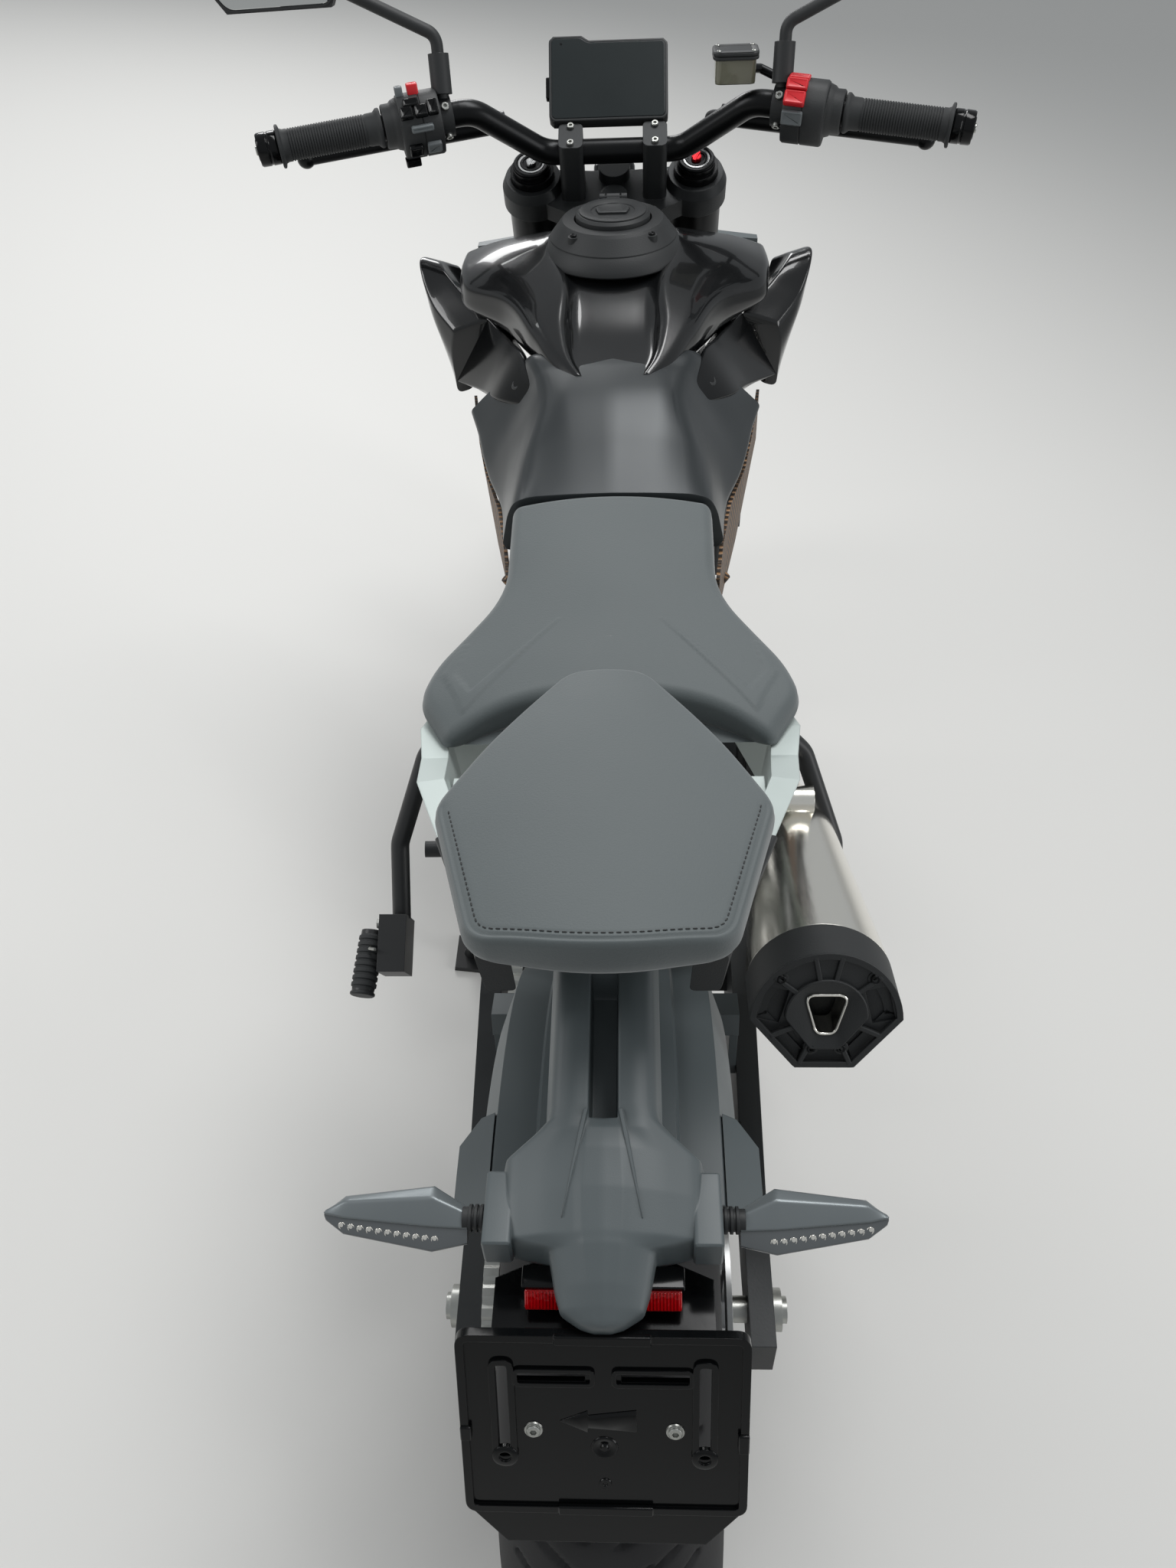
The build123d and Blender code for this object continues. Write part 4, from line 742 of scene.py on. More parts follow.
def cutAway(piece, place, axis, local):  # drop what lies beyond a plane, and close the cut
    shape = bmesh.new()
    shape.from_mesh(piece.data)
    toMesh = piece.matrix_world.inverted()
    origin = toMesh @ (local @ Vector(place))
    normal = toMesh.to_3x3() @ (local.to_3x3().normalized() @ Vector(axis))
    geometry = shape.verts[:] + shape.edges[:] + shape.faces[:]
    result = bmesh.ops.bisect_plane(shape, geom=geometry, plane_co=origin, plane_no=normal, clear_outer=True)
    rim = [item for item in result["geom_cut"] if isinstance(item, bmesh.types.BMEdge)]
    bmesh.ops.holes_fill(shape, edges=rim)
    shape.to_mesh(piece.data)
    shape.free()


def openFiller(piece, centre, reach):  # the filler neck passes through the cover's skin
    skinDepth = 20 * mm
    shape = bmesh.new()
    shape.from_mesh(piece.data)
    toMesh = piece.matrix_world.inverted()
    middle = toMesh @ (bike @ Vector(centre))
    rise = (toMesh.to_3x3() @ (bike.to_3x3() @ Vector((0, 0, 1)))).normalized()
    inside = []
    for face in shape.faces:
        offset = face.calc_center_median() - middle
        height = offset.dot(rise)
        if (offset - rise * height).length < reach * mm and height > -skinDepth:
            inside.append(face)
    bmesh.ops.delete(shape, geom=inside, context="FACES")
    shape.to_mesh(piece.data)
    shape.free()


tankTop = {
    # y, then (x, z) of: middle, channel, ridge, shoulder, brow, edge, chin, inner chin
    "sections": [
        (1092, (0, 964), (58, 964), (72, 968), (150, 956), (186, 945), (192, 915), (150, 898), (120, 866)),
        (1010, (0, 962), (60, 962), (78, 970), (148, 957), (190, 935), (192, 905), (152, 886), (120, 866)),
        (990, (0, 957), (58, 957), (74, 966), (142, 955), (184, 932), (188, 905), (150, 886), (118, 866)),
        (935, (0, 944), (46, 944), (58, 954), (104, 946), (130, 935), (132, 910), (126, 888), (104, 876)),
        (865, (0, 918), (44, 918), (58, 930), (84, 927), (93, 918), (95, 900), (90, 886), (76, 876)),
        (812, (0, 905), (40, 906), (48, 912), (57, 909), (63, 904), (64, 896), (58, 884), (50, 876)),
        (793, (0, 901), (32, 902), (38, 905), (43, 903), (46, 900), (47, 894), (44, 884), (38, 876)),
    ],
    "rounding": [0, 9, 6, 30, 9, 8, 6, 4],
    "fillerPlace": (0, 1022, 964),
    "fillerReach": 50,
}
tankRear = {
    # y, then (x, z) of: middle, crown, border, shoulder, flank, knee, inner knee
    "sections": [
        (890, (0, 874), (60, 874), (110, 872), (122, 860), (150, 843), (179, 815), (170, 794)),
        (850, (0, 907), (60, 907), (98, 903), (107, 880), (128, 852), (168, 806), (158, 790)),
        (812, (0, 906), (50, 906), (84, 900), (94, 880), (116, 848), (160, 798), (150, 786)),
        (775, (0, 901), (56, 899), (76, 892), (92, 872), (114, 842), (150, 792), (144, 784)),
        (700, (0, 876), (56, 873), (88, 864), (104, 846), (116, 822), (128, 792), (122, 784)),
        (628, (0, 852), (50, 851), (86, 849), (104, 843), (112, 828), (120, 792), (116, 784)),
    ],
    "rounding": [0, 30, 12, 14, 24, 6, 4],
}
# the tank's front ends at this plane, clear of the turning fork: a point and its outward side
forkRoom = ((0, -80.5, 800), (0, 1, 0), head)
# y, then (x, z) round the right blade
blades = {
    "Wing": {
        "finish": lacqueredBlack,
        "sections": [
            (1120, (206, 905), (236, 915), (232, 860), (214, 800), (192, 800), (194, 860)),
            (1078, (222, 925), (252, 930), (244, 880), (222, 790), (198, 790), (198, 880)),
            (1038, (195, 905), (235, 890), (236, 870), (216, 795), (190, 795), (184, 860)),
            (1004, (160, 883), (206, 868), (212, 840), (210, 784), (190, 790), (158, 850)),
        ],
        "rounding": [5, 5, 20, 12, 6, 20],
    },
    "Panel": {
        "finish": glossAbs,
        "sections": [
            (1004, (160, 883), (210, 800), (184, 796), (140, 858), (140, 878)),
            (925, (128, 890), (168, 826), (158, 816), (116, 868), (114, 882)),
            (859, (104, 896), (141, 845), (132, 836), (98, 876), (98, 888)),
            (800, (91, 876), (97, 863), (92, 856), (86, 864), (87, 870)),
        ],
        "rounding": [4, 3, 4, 5, 4],
    },
}


def makeTankCovers():
    top = loftedShell("tankTop", tankTop["sections"], tankTop["rounding"], 110, lacqueredBlack, "tank_cover")
    cutAway(top, *forkRoom)
    openFiller(top, tankTop["fillerPlace"], tankTop["fillerReach"])
    loftedShell("tankRearCover", tankRear["sections"], tankRear["rounding"], 90, mattMetallic,
                "tank_rear_cover")


def makeBlades():
    for side, word in ((1, "right"), (-1, "left")):
        for kind, blade in blades.items():
            sections = [(y, *[(x * side, z) for x, z in corners]) for y, *corners in blade["sections"]]
            loftedShell(word + kind, sections, blade["rounding"], 40, blade["finish"], "tank_spoilers", False)


makeTankCovers()
makeBlades()
print("tank covers made")


# Tyres with cut tread

tyres = {
    "frontTyre": {
        "node": "front_tyre", "body": "front_wheel", "joint": "front_wheel_spin", "radius": 300, "width": 120,
        "crown": 62, "rimWidth": 89, "pitches": 30, "segments": 660,
        # inner and outer end of each groove: distance from the middle, share of a pitch
        "grooves": [((7, 0.0), (48, 0.52)), ((26, 0.62), (50, 0.9))],
    },
    "rearTyre": {
        "node": "rear_tyre", "body": "rear_wheel", "joint": "rear_wheel_spin", "radius": 315, "width": 180,
        "crown": 91, "rimWidth": 140, "pitches": 28, "segments": 700,
        "grooves": [((10, 0.0), (74, 0.6)), ((34, 0.66), (78, 1.02)), ((16, 0.55), (30, 0.7))],
    },
}
tread = {"steps": 64, "grooveWidth": 5.5, "grooveDepth": 4.2, "wall": 2.0}
beadRadius = 216.3
flangeTop = 225


def tyreProfile(tyre):  # x, radius, and the arc from the middle where there is tread
    crown, shoulder = tyre["crown"], tyre["width"] / 2 - 1
    crownCentre = tyre["radius"] - crown
    shoulderRadius = crownCentre + math.sqrt(crown**2 - shoulder**2)
    bead = tyre["rimWidth"] / 2 - 0.3
    sweep = math.asin(shoulder / crown)
    profile = []
    for step in range(tread["steps"] + 1):
        angle = -sweep + 2 * sweep * step / tread["steps"]
        profile.append((crown * math.sin(angle), crownCentre + crown * math.cos(angle), crown * angle))
    belly = (flangeTop + shoulderRadius) / 2
    wall = [(shoulder, shoulderRadius), (shoulder + 0.4, shoulderRadius - 9), (shoulder - 5, belly),
            (bead, flangeTop)]
    side = roundedRing(wall, [8] * 4, 5, 2, closed=False)[1:]
    profile += [(x, r, None) for x, r in side]
    profile += [(x, beadRadius, None) for x in (bead, bead - 10, 10 - bead, -bead)]
    profile += [(-x, r, None) for x, r in side[::-1]]
    return profile


def grooveCut(tyre, arc, travel):  # how deep the tread is cut along one line round the tyre
    pitch = 2 * math.pi * tyre["radius"] / tyre["pitches"]
    offset = 0.5 if arc < 0 else 0
    places = np.column_stack([np.full(len(travel), abs(arc)), (travel + offset * pitch) % pitch])
    depth = np.zeros(len(travel))
    for (near, nearShare), (far, farShare) in tyre["grooves"]:
        for wrap in (-1, 0, 1):
            gap = toSegment(places, (near, (nearShare + wrap) * pitch), (far, (farShare + wrap) * pitch))
            share = easeStep(gap - tread["grooveWidth"] / 2 + 1.2, tread["wall"])
            depth = np.maximum(depth, share * tread["grooveDepth"])
    return depth


def makeTyre(name, tyre):
    around = tyre["segments"]
    turns = np.arange(around) * 2 * math.pi / around
    columns = []
    for x, r, arc in tyreProfile(tyre):
        reach = np.full(around, r) if arc is None else r - grooveCut(tyre, arc, turns * tyre["radius"])
        columns.append(np.column_stack([np.full(around, x), reach * np.sin(turns), reach * np.cos(turns)]))
    place = placing(Vector(joints[tyre["joint"]]["pos_m"]), across, forward, upward)
    faces = gridFaces(len(columns), around, True, True)
    piece = addPiece(name, np.vstack(columns), faces, tyreRubber, tyre["body"], place)
    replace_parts(piece, tyre["node"])


for name, tyre in tyres.items():
    makeTyre(name, tyre)
print("tyres made")


# Small parts, made in their own axes and joined into one piece per finish and body

here = Matrix.Identity(4)
flip = Matrix.Scale(-1, 4, (1, 0, 0))


def shifted(x, y, z):
    return Matrix.Translation((x, y, z))


def sideways(x):  # an outline drawn as forward and up, laid across the machine from x
    return Matrix(((0, 0, 1, x), (1, 0, 0, 0), (0, 1, 0, 0), (0, 0, 0, 1)))


def combine(parts):
    points, faces = [], []
    for somePoints, someFaces in parts:
        faces += [[i + len(points) for i in face] for face in someFaces]
        points += [tuple(point) for point in somePoints]
    return points, faces


def moved(part, *matrices):
    points = np.asarray(part[0], float)
    for matrix in matrices[::-1]:
        turn = np.array(matrix)
        points = points @ turn[:3, :3].T + turn[:3, 3]
    return points, part[1]


def bothSides(parts):
    return list(parts) + [moved(part, flip) for part in parts]


def addParts(name, parts, make, body="chassis", sharp=35):  # drawn in the machine's upright axes
    return addPiece(name, *combine(parts), make, body, bike, sharp)


def addHeadParts(name, parts, make, sharp=35):  # drawn in the steering head's axes
    return addPiece(name, *combine(parts), make, "steering", head, sharp)


def atHeight(outline, z):  # an outline at one height
    return np.column_stack([outline, np.full(len(outline), z)])


def stack(rings):  # a closed solid through the rings
    count = len(rings[0])
    faces = gridFaces(len(rings), count, closedColumns=True)
    faces += [list(range(count)), list(range((len(rings) - 1) * count, len(rings) * count))]
    return np.vstack(rings), faces


def loop(rings):  # a ring-shaped solid, the last ring joined to the first
    return np.vstack(rings), gridFaces(len(rings), len(rings[0]), True, True)


def lathe(profile, segments=32, close=stack):  # radius, height about z
    turns = np.arange(segments) * 2 * math.pi / segments
    return close([np.column_stack([r * np.cos(turns), r * np.sin(turns), np.full(segments, z)])
                  for r, z in profile])


def rounded(width, height, radius, steps=4):
    x, y = width / 2, height / 2
    return roundedRing([(x, -y), (x, y), (-x, y), (-x, -y)], [radius] * 4, steps, 1)


def drawnIn(outline, inset):  # the outline moved inwards
    outline = np.array(outline, float)
    along = np.roll(outline, -1, axis=0) - np.roll(outline, 1, axis=0)
    along /= np.maximum(np.linalg.norm(along, axis=1), 1e-9)[:, None]
    x, y = outline.T
    turning = np.sign(np.sum(x * np.roll(y, -1) - np.roll(x, -1) * y))
    return outline + np.column_stack([-along[:, 1], along[:, 0]]) * turning * inset


def slab(outline, levels):  # a plate with shaped edges: inset and height of each level
    return stack([atHeight(drawnIn(outline, inset), z) for inset, z in levels])


def frameRing(outline, width, low, high):  # a raised rim along an outline
    inner = drawnIn(outline, width)
    sides = ((outline, low), (outline, high), (inner, high), (inner, low))
    return loop([atHeight(line, z) for line, z in sides])


def tube(route, radius, sides=12, step=4, closed=False):  # a round bar along a route
    route = np.array(route, float)
    line = evenly(route, max(3, int(lineLength(route) / step)), closed)
    lift = np.array([0.31, 0.17, 0.93])  # any direction that no route here runs along
    rings = []
    for i, point in enumerate(line):
        after = line[(i + 1) % len(line)] if closed or i + 1 < len(line) else point
        before = line[i - 1] if closed or i else point
        along = (after - before) / np.linalg.norm(after - before)
        lift = lift - along * (lift @ along)
        lift /= np.linalg.norm(lift)
        side = np.cross(along, lift)
        rings.append([point + radius * (math.cos(a) * lift + math.sin(a) * side)
                      for a in np.arange(sides) * 2 * math.pi / sides])
    return loop(rings) if closed else stack(rings)


def socketScrew(radius, height):  # a cap screw's head with its hexagon socket
    turns = np.arange(24) * math.pi / 12
    hexagon = 0.52 * radius * math.cos(math.pi / 6) / np.cos(turns % (math.pi / 3) - math.pi / 6)
    return stack([np.column_stack([r * np.cos(turns), r * np.sin(turns), np.full(24, z)]) for r, z in (
        (radius, 0), (radius, height - 0.7), (radius - 0.7, height), (hexagon, height),
        (hexagon * 0.98, height * 0.35))])


def hexBolt(radius, height):
    return lathe([(radius, 0), (radius, height - 0.8), (radius * 0.86, height)], 6)


# Steering: places in the head's axes, x to the right, y ahead, z up the head

barTip = Vector((398, -60, 897))
barShoulder = Vector((166, 4, 886))
barOutward = (barTip - barShoulder).normalized()


def onBar(distance):  # a frame that far in from the bar's tip: x outward along the bar, z up
    upBar = (Vector((0, 0, 1)) - barOutward * barOutward.z).normalized()
    turn = Matrix((barOutward, upBar.cross(barOutward), upBar)).transposed().to_4x4()
    return Matrix.Translation(barTip - barOutward * distance) @ turn


alongBar = onAxis(onBar(0), (0, 0, 0), (-1, 0, 0))

# radius, distance in from the bar's tip
grip = {
    "bore": 14.7,
    "flange": [(21.5, 9), (23, 9.8), (23, 12.2), (21.5, 13), (18.4, 14)],
    "radius": 17.2,
    "ribs": {"start": 20, "pitch": 3.1, "count": 30, "land": 1.7, "depth": 0.9},
    "cuff": [(17.4, 124), (20, 127), (21, 128.4), (21, 131), (20, 132)],
    "weight": [(0, -16), (11, -16), (12, -15), (16.5, -15), (17.8, -13), (18, -4), (17.2, -3), (17.2, -1.5),
               (18, -0.5), (18, 7.5), (17, 9)],
}


def makeGrips():
    radius, bore, ribs = grip["radius"], grip["bore"], grip["ribs"]
    valley = radius - ribs["depth"]
    profile = [(bore, 9), *grip["flange"], (radius, 17)]
    for k in range(ribs["count"]):
        start = ribs["start"] + k * ribs["pitch"]
        end, following = start + ribs["land"], start + ribs["pitch"]
        profile += [(radius, start), (radius, end), (valley, end + 0.3), (valley, following - 0.3)]
    profile += [(radius, 115), *grip["cuff"], (bore, 132)]
    sleeve = moved(lathe(profile, 40, loop), alongBar)
    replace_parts(addHeadParts("gripSleeves", bothSides([sleeve]), gripRubber, 50), "grips")
    weight = moved(lathe([*grip["weight"], (bore, 9)], 40), alongBar)
    bolt = moved(socketScrew(5, 2), alongBar, shifted(0, 0, -16), Matrix.Rotation(math.pi, 4, "X"))
    addHeadParts("barEnds", bothSides([weight]), glossAbs)
    addHeadParts("barEndScrews", bothSides([bolt]), zincPlate)


switches = {
    # the housing's outline across the bar: forward, up
    "housing": [(14, 30), (-6, 38), (-32, 26), (-39, 2), (-33, -26), (-4, -32), (16, -14)],
    "rounding": [8, 10, 12, 14, 12, 12, 12],
    # inset, width along the bar; the two halves part at 23 mm
    "levels": [(5, 0), (1.5, 0.6), (0, 3), (0, 22), (1, 22.6), (1, 23.4), (0, 24), (0, 46), (1.5, 48.4),
               (5, 49)],
    "fromTip": 158,
    "innerEnd": -43,
    # radius, distance in from the bar's tip
    "collar": [(14.8, 134), (22, 134), (23.5, 135.5), (23.5, 144), (26, 147), (28, 153), (14.8, 153)],
    "capRounding": 2.2,
    # side (-1 left), face of the housing, share down it, outward, width, height, rise, finish
    "caps": [
        (-1, 0, 0.55, -16, 13, 10, 10, redAbs), (-1, 0, 0.55, 0, 9, 9, 9, greyAbs),
        (-1, 1, 0.3, -10, 18, 9, 4, glossAbs), (-1, 1, 0.68, -20, 15, 13, 4.5, glossAbs),
        (-1, 1, 0.68, -3, 15, 13, 4.5, glossAbs), (-1, 1, 0.6, -34, 12, 17, 4, glossAbs),
        (-1, 2, 0.35, -18, 26, 7, 5, greyAbs), (-1, 3, 0.3, -7, 16, 14, 5, glossAbs),
        (-1, 3, 0.3, -29, 17, 14, 4, greyAbs), (-1, 4, 0.15, -2, 18, 12, 6, glossAbs),
        (1, 1, 0.2, -30, 24, 12, 6, redAbs), (1, 1, 0.72, -30, 24, 15, 5, redAbs),
        (1, 2, 0.5, -30, 24, 15, 3.5, greyAbs), (1, 0, 0.5, -30, 24, 14, 3, redAbs),
    ],
}


def onHousing(face, share, outward):  # x outward, y up the face, z out of it
    a, b = [Vector(corner) for corner in switches["housing"][face:face + 2]]
    spot = a.lerp(b, share)
    up = (a - b).normalized()
    outwardAxis, rise = Vector((1, 0, 0)), Vector((0, up.x, up.y))
    turn = Matrix((outwardAxis, rise, outwardAxis.cross(rise))).transposed().to_4x4()
    return onBar(switches["fromTip"]) @ shifted(outward, spot.x, spot.y) @ turn


def makeSwitches():
    shell = slab(roundedRing(switches["housing"], switches["rounding"], 5, 1), switches["levels"])
    shell = moved(shell, onBar(switches["fromTip"]), sideways(switches["innerEnd"]))
    collar = moved(lathe(switches["collar"], 44), alongBar)
    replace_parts(addHeadParts("switchHousings", bothSides([shell, collar]), sparkedPolypropylene, 45),
                "switchgear")
    groups = {}
    for side, face, share, outward, width, height, rise, finish in switches["caps"]:
        dished = [(0, -2), (0, rise - 1.2), (0.5, rise - 0.4), (1.5, rise), (3.2, rise - 0.7)]
        cap = slab(rounded(width, height, switches["capRounding"]), dished)
        cap = moved(cap, onHousing(face, share, outward))
        groups.setdefault(finish, []).append(cap if side > 0 else moved(cap, flip))
    for finish, parts in groups.items():
        addHeadParts(finish.__name__ + "Switches", parts, finish, 40)


clampScrews = {
    "fromTip": 208,
    "reach": 21,
    "turns": (62, -28),
    "screw": (4.6, 4.5),
    "riserPlaces": [(52, 6, 835), (52, 34, 835)],
    "riserScrew": (4.5, 4),
}


def makeClampScrews():
    screws = []
    for turn in np.radians(clampScrews["turns"]):
        axis = Vector((0, -math.cos(turn), math.sin(turn)))
        place = onAxis(onBar(clampScrews["fromTip"]), axis * clampScrews["reach"], axis)
        screws.append(moved(socketScrew(*clampScrews["screw"]), place))
    addHeadParts("mirrorClampScrews", bothSides(screws), zincPlate)
    risers = [moved(socketScrew(*clampScrews["riserScrew"]), shifted(*spot))
              for spot in clampScrews["riserPlaces"]]
    addHeadParts("riserScrews", bothSides(risers), zincPlate)


# radius, height over the fork tube's top
forkCap = {
    "place": (105, 32, 785),
    "cap": [(0, -1), (21, -1), (23, 0), (23, 2.4), (21.6, 3.6), (19, 3.6), (18, 2.2), (14, 2.2), (13.4, 3.4),
            (11, 3.4), (10.4, 1.6), (0, 1.6)],
    "knob": [(0, 1), (6.4, 1), (6.4, 5.2), (5.6, 6), (0, 6)],
    "ring": [(14.4, 2), (16.8, 2), (16.8, 2.9), (14.4, 2.9)],
    "blade": (17, 5, 1.6),
    "bladeLevels": [(0, 2.2), (0, 5.4), (0.7, 6.6)],
    "bladeTurn": 63.025,
}


def makeForkCaps():
    place = shifted(*forkCap["place"])
    addHeadParts("forkCaps", bothSides([moved(lathe(forkCap["cap"], 48), place)]), anodisedBlack)
    knob = lathe(forkCap["knob"], 28)
    blade = moved(slab(rounded(*forkCap["blade"]), forkCap["bladeLevels"]),
                  Matrix.Rotation(math.radians(forkCap["bladeTurn"]), 4, "Z"))
    x, y, z = forkCap["place"]
    for name, side, make in (("dampingAdjuster", -1, groundSteel), ("preloadAdjuster", 1, anodisedRed)):
        addHeadParts(name, [moved(part, shifted(side * x, y, z)) for part in (knob, blade)], make)
    addHeadParts("capRings", bothSides([moved(lathe(forkCap["ring"], 48, loop), place)]), groundSteel)


display = {
    "place": onAxis(here, (-5, 89, 858), (0, -0.374, 0.924)),
    "corners": [(-68, -52), (68, -52), (73, -47), (73, 41), (68, 46), (-24, 46), (-33, 52), (-68, 52),
                (-73, 47), (-73, -47)],
    "rounding": 3,
    "bezel": [(1.4, -16.6), (-0.4, -15), (-0.4, -1.2), (0.4, 0.4), (1.4, 0.8), (2.4, 0.8), (2.9, 0.1)],
    "glassInset": 3.2,
    "glass": [(0, 0.1), (0, 0.9), (0.5, 1.2)],
    "eyePlace": (-58, 42, 0),
    "eye": [(0, 1.1), (1.6, 1.1), (1.2, 1.5), (0, 1.5)],
    "keyPlace": (-72.5, -8, -8),
    "key": (26, 10, 2),
    "keyLevels": [(0, 0), (0, 4), (1, 5)],
}


def makeDisplay():
    place = display["place"]
    rim = roundedRing(display["corners"], [display["rounding"]] * len(display["corners"]), 4, 2)
    addHeadParts("displayBezel", [moved(slab(rim, display["bezel"]), place)], sparkedPolypropylene, 30)
    glass = slab(drawnIn(rim, display["glassInset"]), display["glass"])
    addHeadParts("displayGlass", [moved(glass, place)], screenGlass, 30)
    eye = moved(lathe(display["eye"], 16), place, shifted(*display["eyePlace"]))
    key = moved(slab(rounded(*display["key"]), display["keyLevels"]), place,
                onAxis(here, display["keyPlace"], (-1, 0, 0), (0, 1, 0)))
    addHeadParts("displayKey", [key, eye], glossAbs)


mirror = {
    "place": onAxis(here, (372, 56, 1034), (0.12, -0.85, 0.4)),
    "corners": [(-80, -14), (-66, -42), (58, -48), (86, -12), (68, 34), (-54, 32)],
    "rounding": 12,
    "shell": [(12, -20.6), (9, -18.6), (1.6, -6), (-0.3, 0), (-0.3, 6), (1, 8.6), (3, 8.6), (3.4, 7)],
    "glassInset": 3.8,
    "glass": [(0, 7), (0, 8.2), (0.6, 8.6)],
}


def makeMirrors():
    outline = roundedRing(mirror["corners"], [mirror["rounding"]] * len(mirror["corners"]), 6, 2)
    shell = moved(slab(outline, mirror["shell"]), mirror["place"])
    glass = moved(slab(drawnIn(outline, mirror["glassInset"]), mirror["glass"]), mirror["place"])
    addHeadParts("mirrorShells", bothSides([shell]), sparkedPolypropylene, 30)
    addHeadParts("mirrorGlasses", bothSides([glass]), mirrorGlass, 30)


# width, depth, corner radius; inset and height of each level
fluidCup = {
    "place": (144, 24, 914),
    "tilt": -24.2,
    "cup": (47, 35, 7.5),
    "cupLevels": [(3, -13.4), (0.6, -12.8), (0, -11), (0, 11.6)],
    "cap": (52.8, 40.8, 9.5),
    "capLevels": [(1.5, 11.8), (0, 12.6), (0, 15), (0.8, 15.4), (0.8, 16.2), (0, 16.6), (0, 19), (1.4, 20.4),
                  (7, 20.4), (8, 19.8)],
    "screwPlaces": [(-20, -14, 20.2), (-20, 14, 20.2), (20, -14, 20.2), (20, 14, 20.2)],
    "screw": (2.6, 1.4),
}


def makeFluidCup():
    level = shifted(*fluidCup["place"]) @ Matrix.Rotation(math.radians(fluidCup["tilt"]), 4, "X")
    cup = slab(rounded(*fluidCup["cup"]), fluidCup["cupLevels"])
    cap = slab(rounded(*fluidCup["cap"]), fluidCup["capLevels"])
    addHeadParts("fluidCup", [moved(cup, level)], smokedPolycarbonate)
    addHeadParts("fluidCap", [moved(cap, level)], sparkedPolypropylene)
    screws = [moved(socketScrew(*fluidCup["screw"]), level, shifted(*spot))
              for spot in fluidCup["screwPlaces"]]
    addHeadParts("fluidCapScrews", screws, zincPlate)


makeGrips()
makeSwitches()
makeClampScrews()
makeForkCaps()
makeDisplay()
makeMirrors()
makeFluidCup()
print("steering details made")


# Tail and body: places in the machine's upright axes

silencer = {
    "start": Vector((192, 436, 556)),
    "axis": Vector((-0.016, -0.964, 0.264)).normalized(),
    "length": 320,
    "capLean": 25,
}
capEnd = silencer["start"] + silencer["axis"] * silencer["length"]
capLean = math.radians(silencer["capLean"])
capFacing = Vector((0, -math.cos(capLean), math.sin(capLean)))
capFace = onAxis(here, capEnd, capFacing)
capDetail = {
    # half width, crown, floor, half floor, drop of the silencer's section and of the bore's
    "shell": (66, 54, 56, 26, 0),
    "bore": (31, 27, 31, 11, 2),
    "mouth": [(19, 18), (-19, 18), (-8, -20), (8, -20)],
    "mouthRounding": [10, 10, 6, 6],
    # share of the bore's outline, then of the mouth's; height over the face
    "collar": [(1.16, -1), (1.16, 2.6), (1.1252, 3.4)],
    "funnel": [(1.22, 1.2), (1.12, 0.6), (1, 0), (1, -30), (1.12, -30)],
    "ribTurns": (38, 78, 102, 142, 205, 246, 294, 335),
    "ribWidth": 4.4,
    "ribLevels": [(0, -1), (0, 2), (0.7, 2.6)],
    "screwPlaces": [(-40, 30, 0), (40, 30, 0), (-12, -38, 0), (14, -38, 0)],
    "screw": (4.2, 3),
    "boss": [(0, -1), (7, -1), (6.4, 0.8), (0, 0.8)],
}


def silencerSection(half, crown, floor, floorHalf, drop):  # an arc over a flat floor
    side = 0.16 * floor
    radius = (half**2 + (crown + side)**2) / (2 * (crown + side))
    middle = crown - radius
    start = math.atan2(-side - middle, half)
    points = []
    for k in range(29):
        angle = start + (math.pi - 2 * start) * k / 28
        points.append((radius * math.cos(angle), middle + radius * math.sin(angle) - drop))
    return points + [(-floorHalf, -floor - drop), (floorHalf, -floor - drop)]


def onCapFace(outline):  # run the section along the silencer to the slanted face
    axis = silencer["axis"]
    section = onAxis(here, capEnd, axis)
    points = []
    for x, y in outline:
        spot = section @ Vector((x, y, 0))
        spot += axis * ((capEnd - spot).dot(capFacing) / axis.dot(capFacing))
        points.append((capFace.inverted() @ spot).xy)
    return points


def aroundMiddle(outline, count):  # the outline sampled at even angles about its middle
    middle = outline.mean(axis=0)
    offsets = outline - middle
    angles = np.arctan2(offsets[:, 1], offsets[:, 0])
    order = np.argsort(angles)
    wanted = -math.pi + 2 * math.pi * np.arange(count) / count
    reach = np.linalg.norm(offsets, axis=1)[order]
    reach = np.interp(wanted, angles[order], reach, period=2 * math.pi)
    return middle + np.column_stack([np.cos(wanted), np.sin(wanted)]) * reach[:, None]


def reachAlong(line, middle, way):  # how far the line lies from the middle in that direction
    offsets = line - middle
    lengths = np.linalg.norm(offsets, axis=1)
    return lengths[np.argmax(offsets @ way / lengths)]


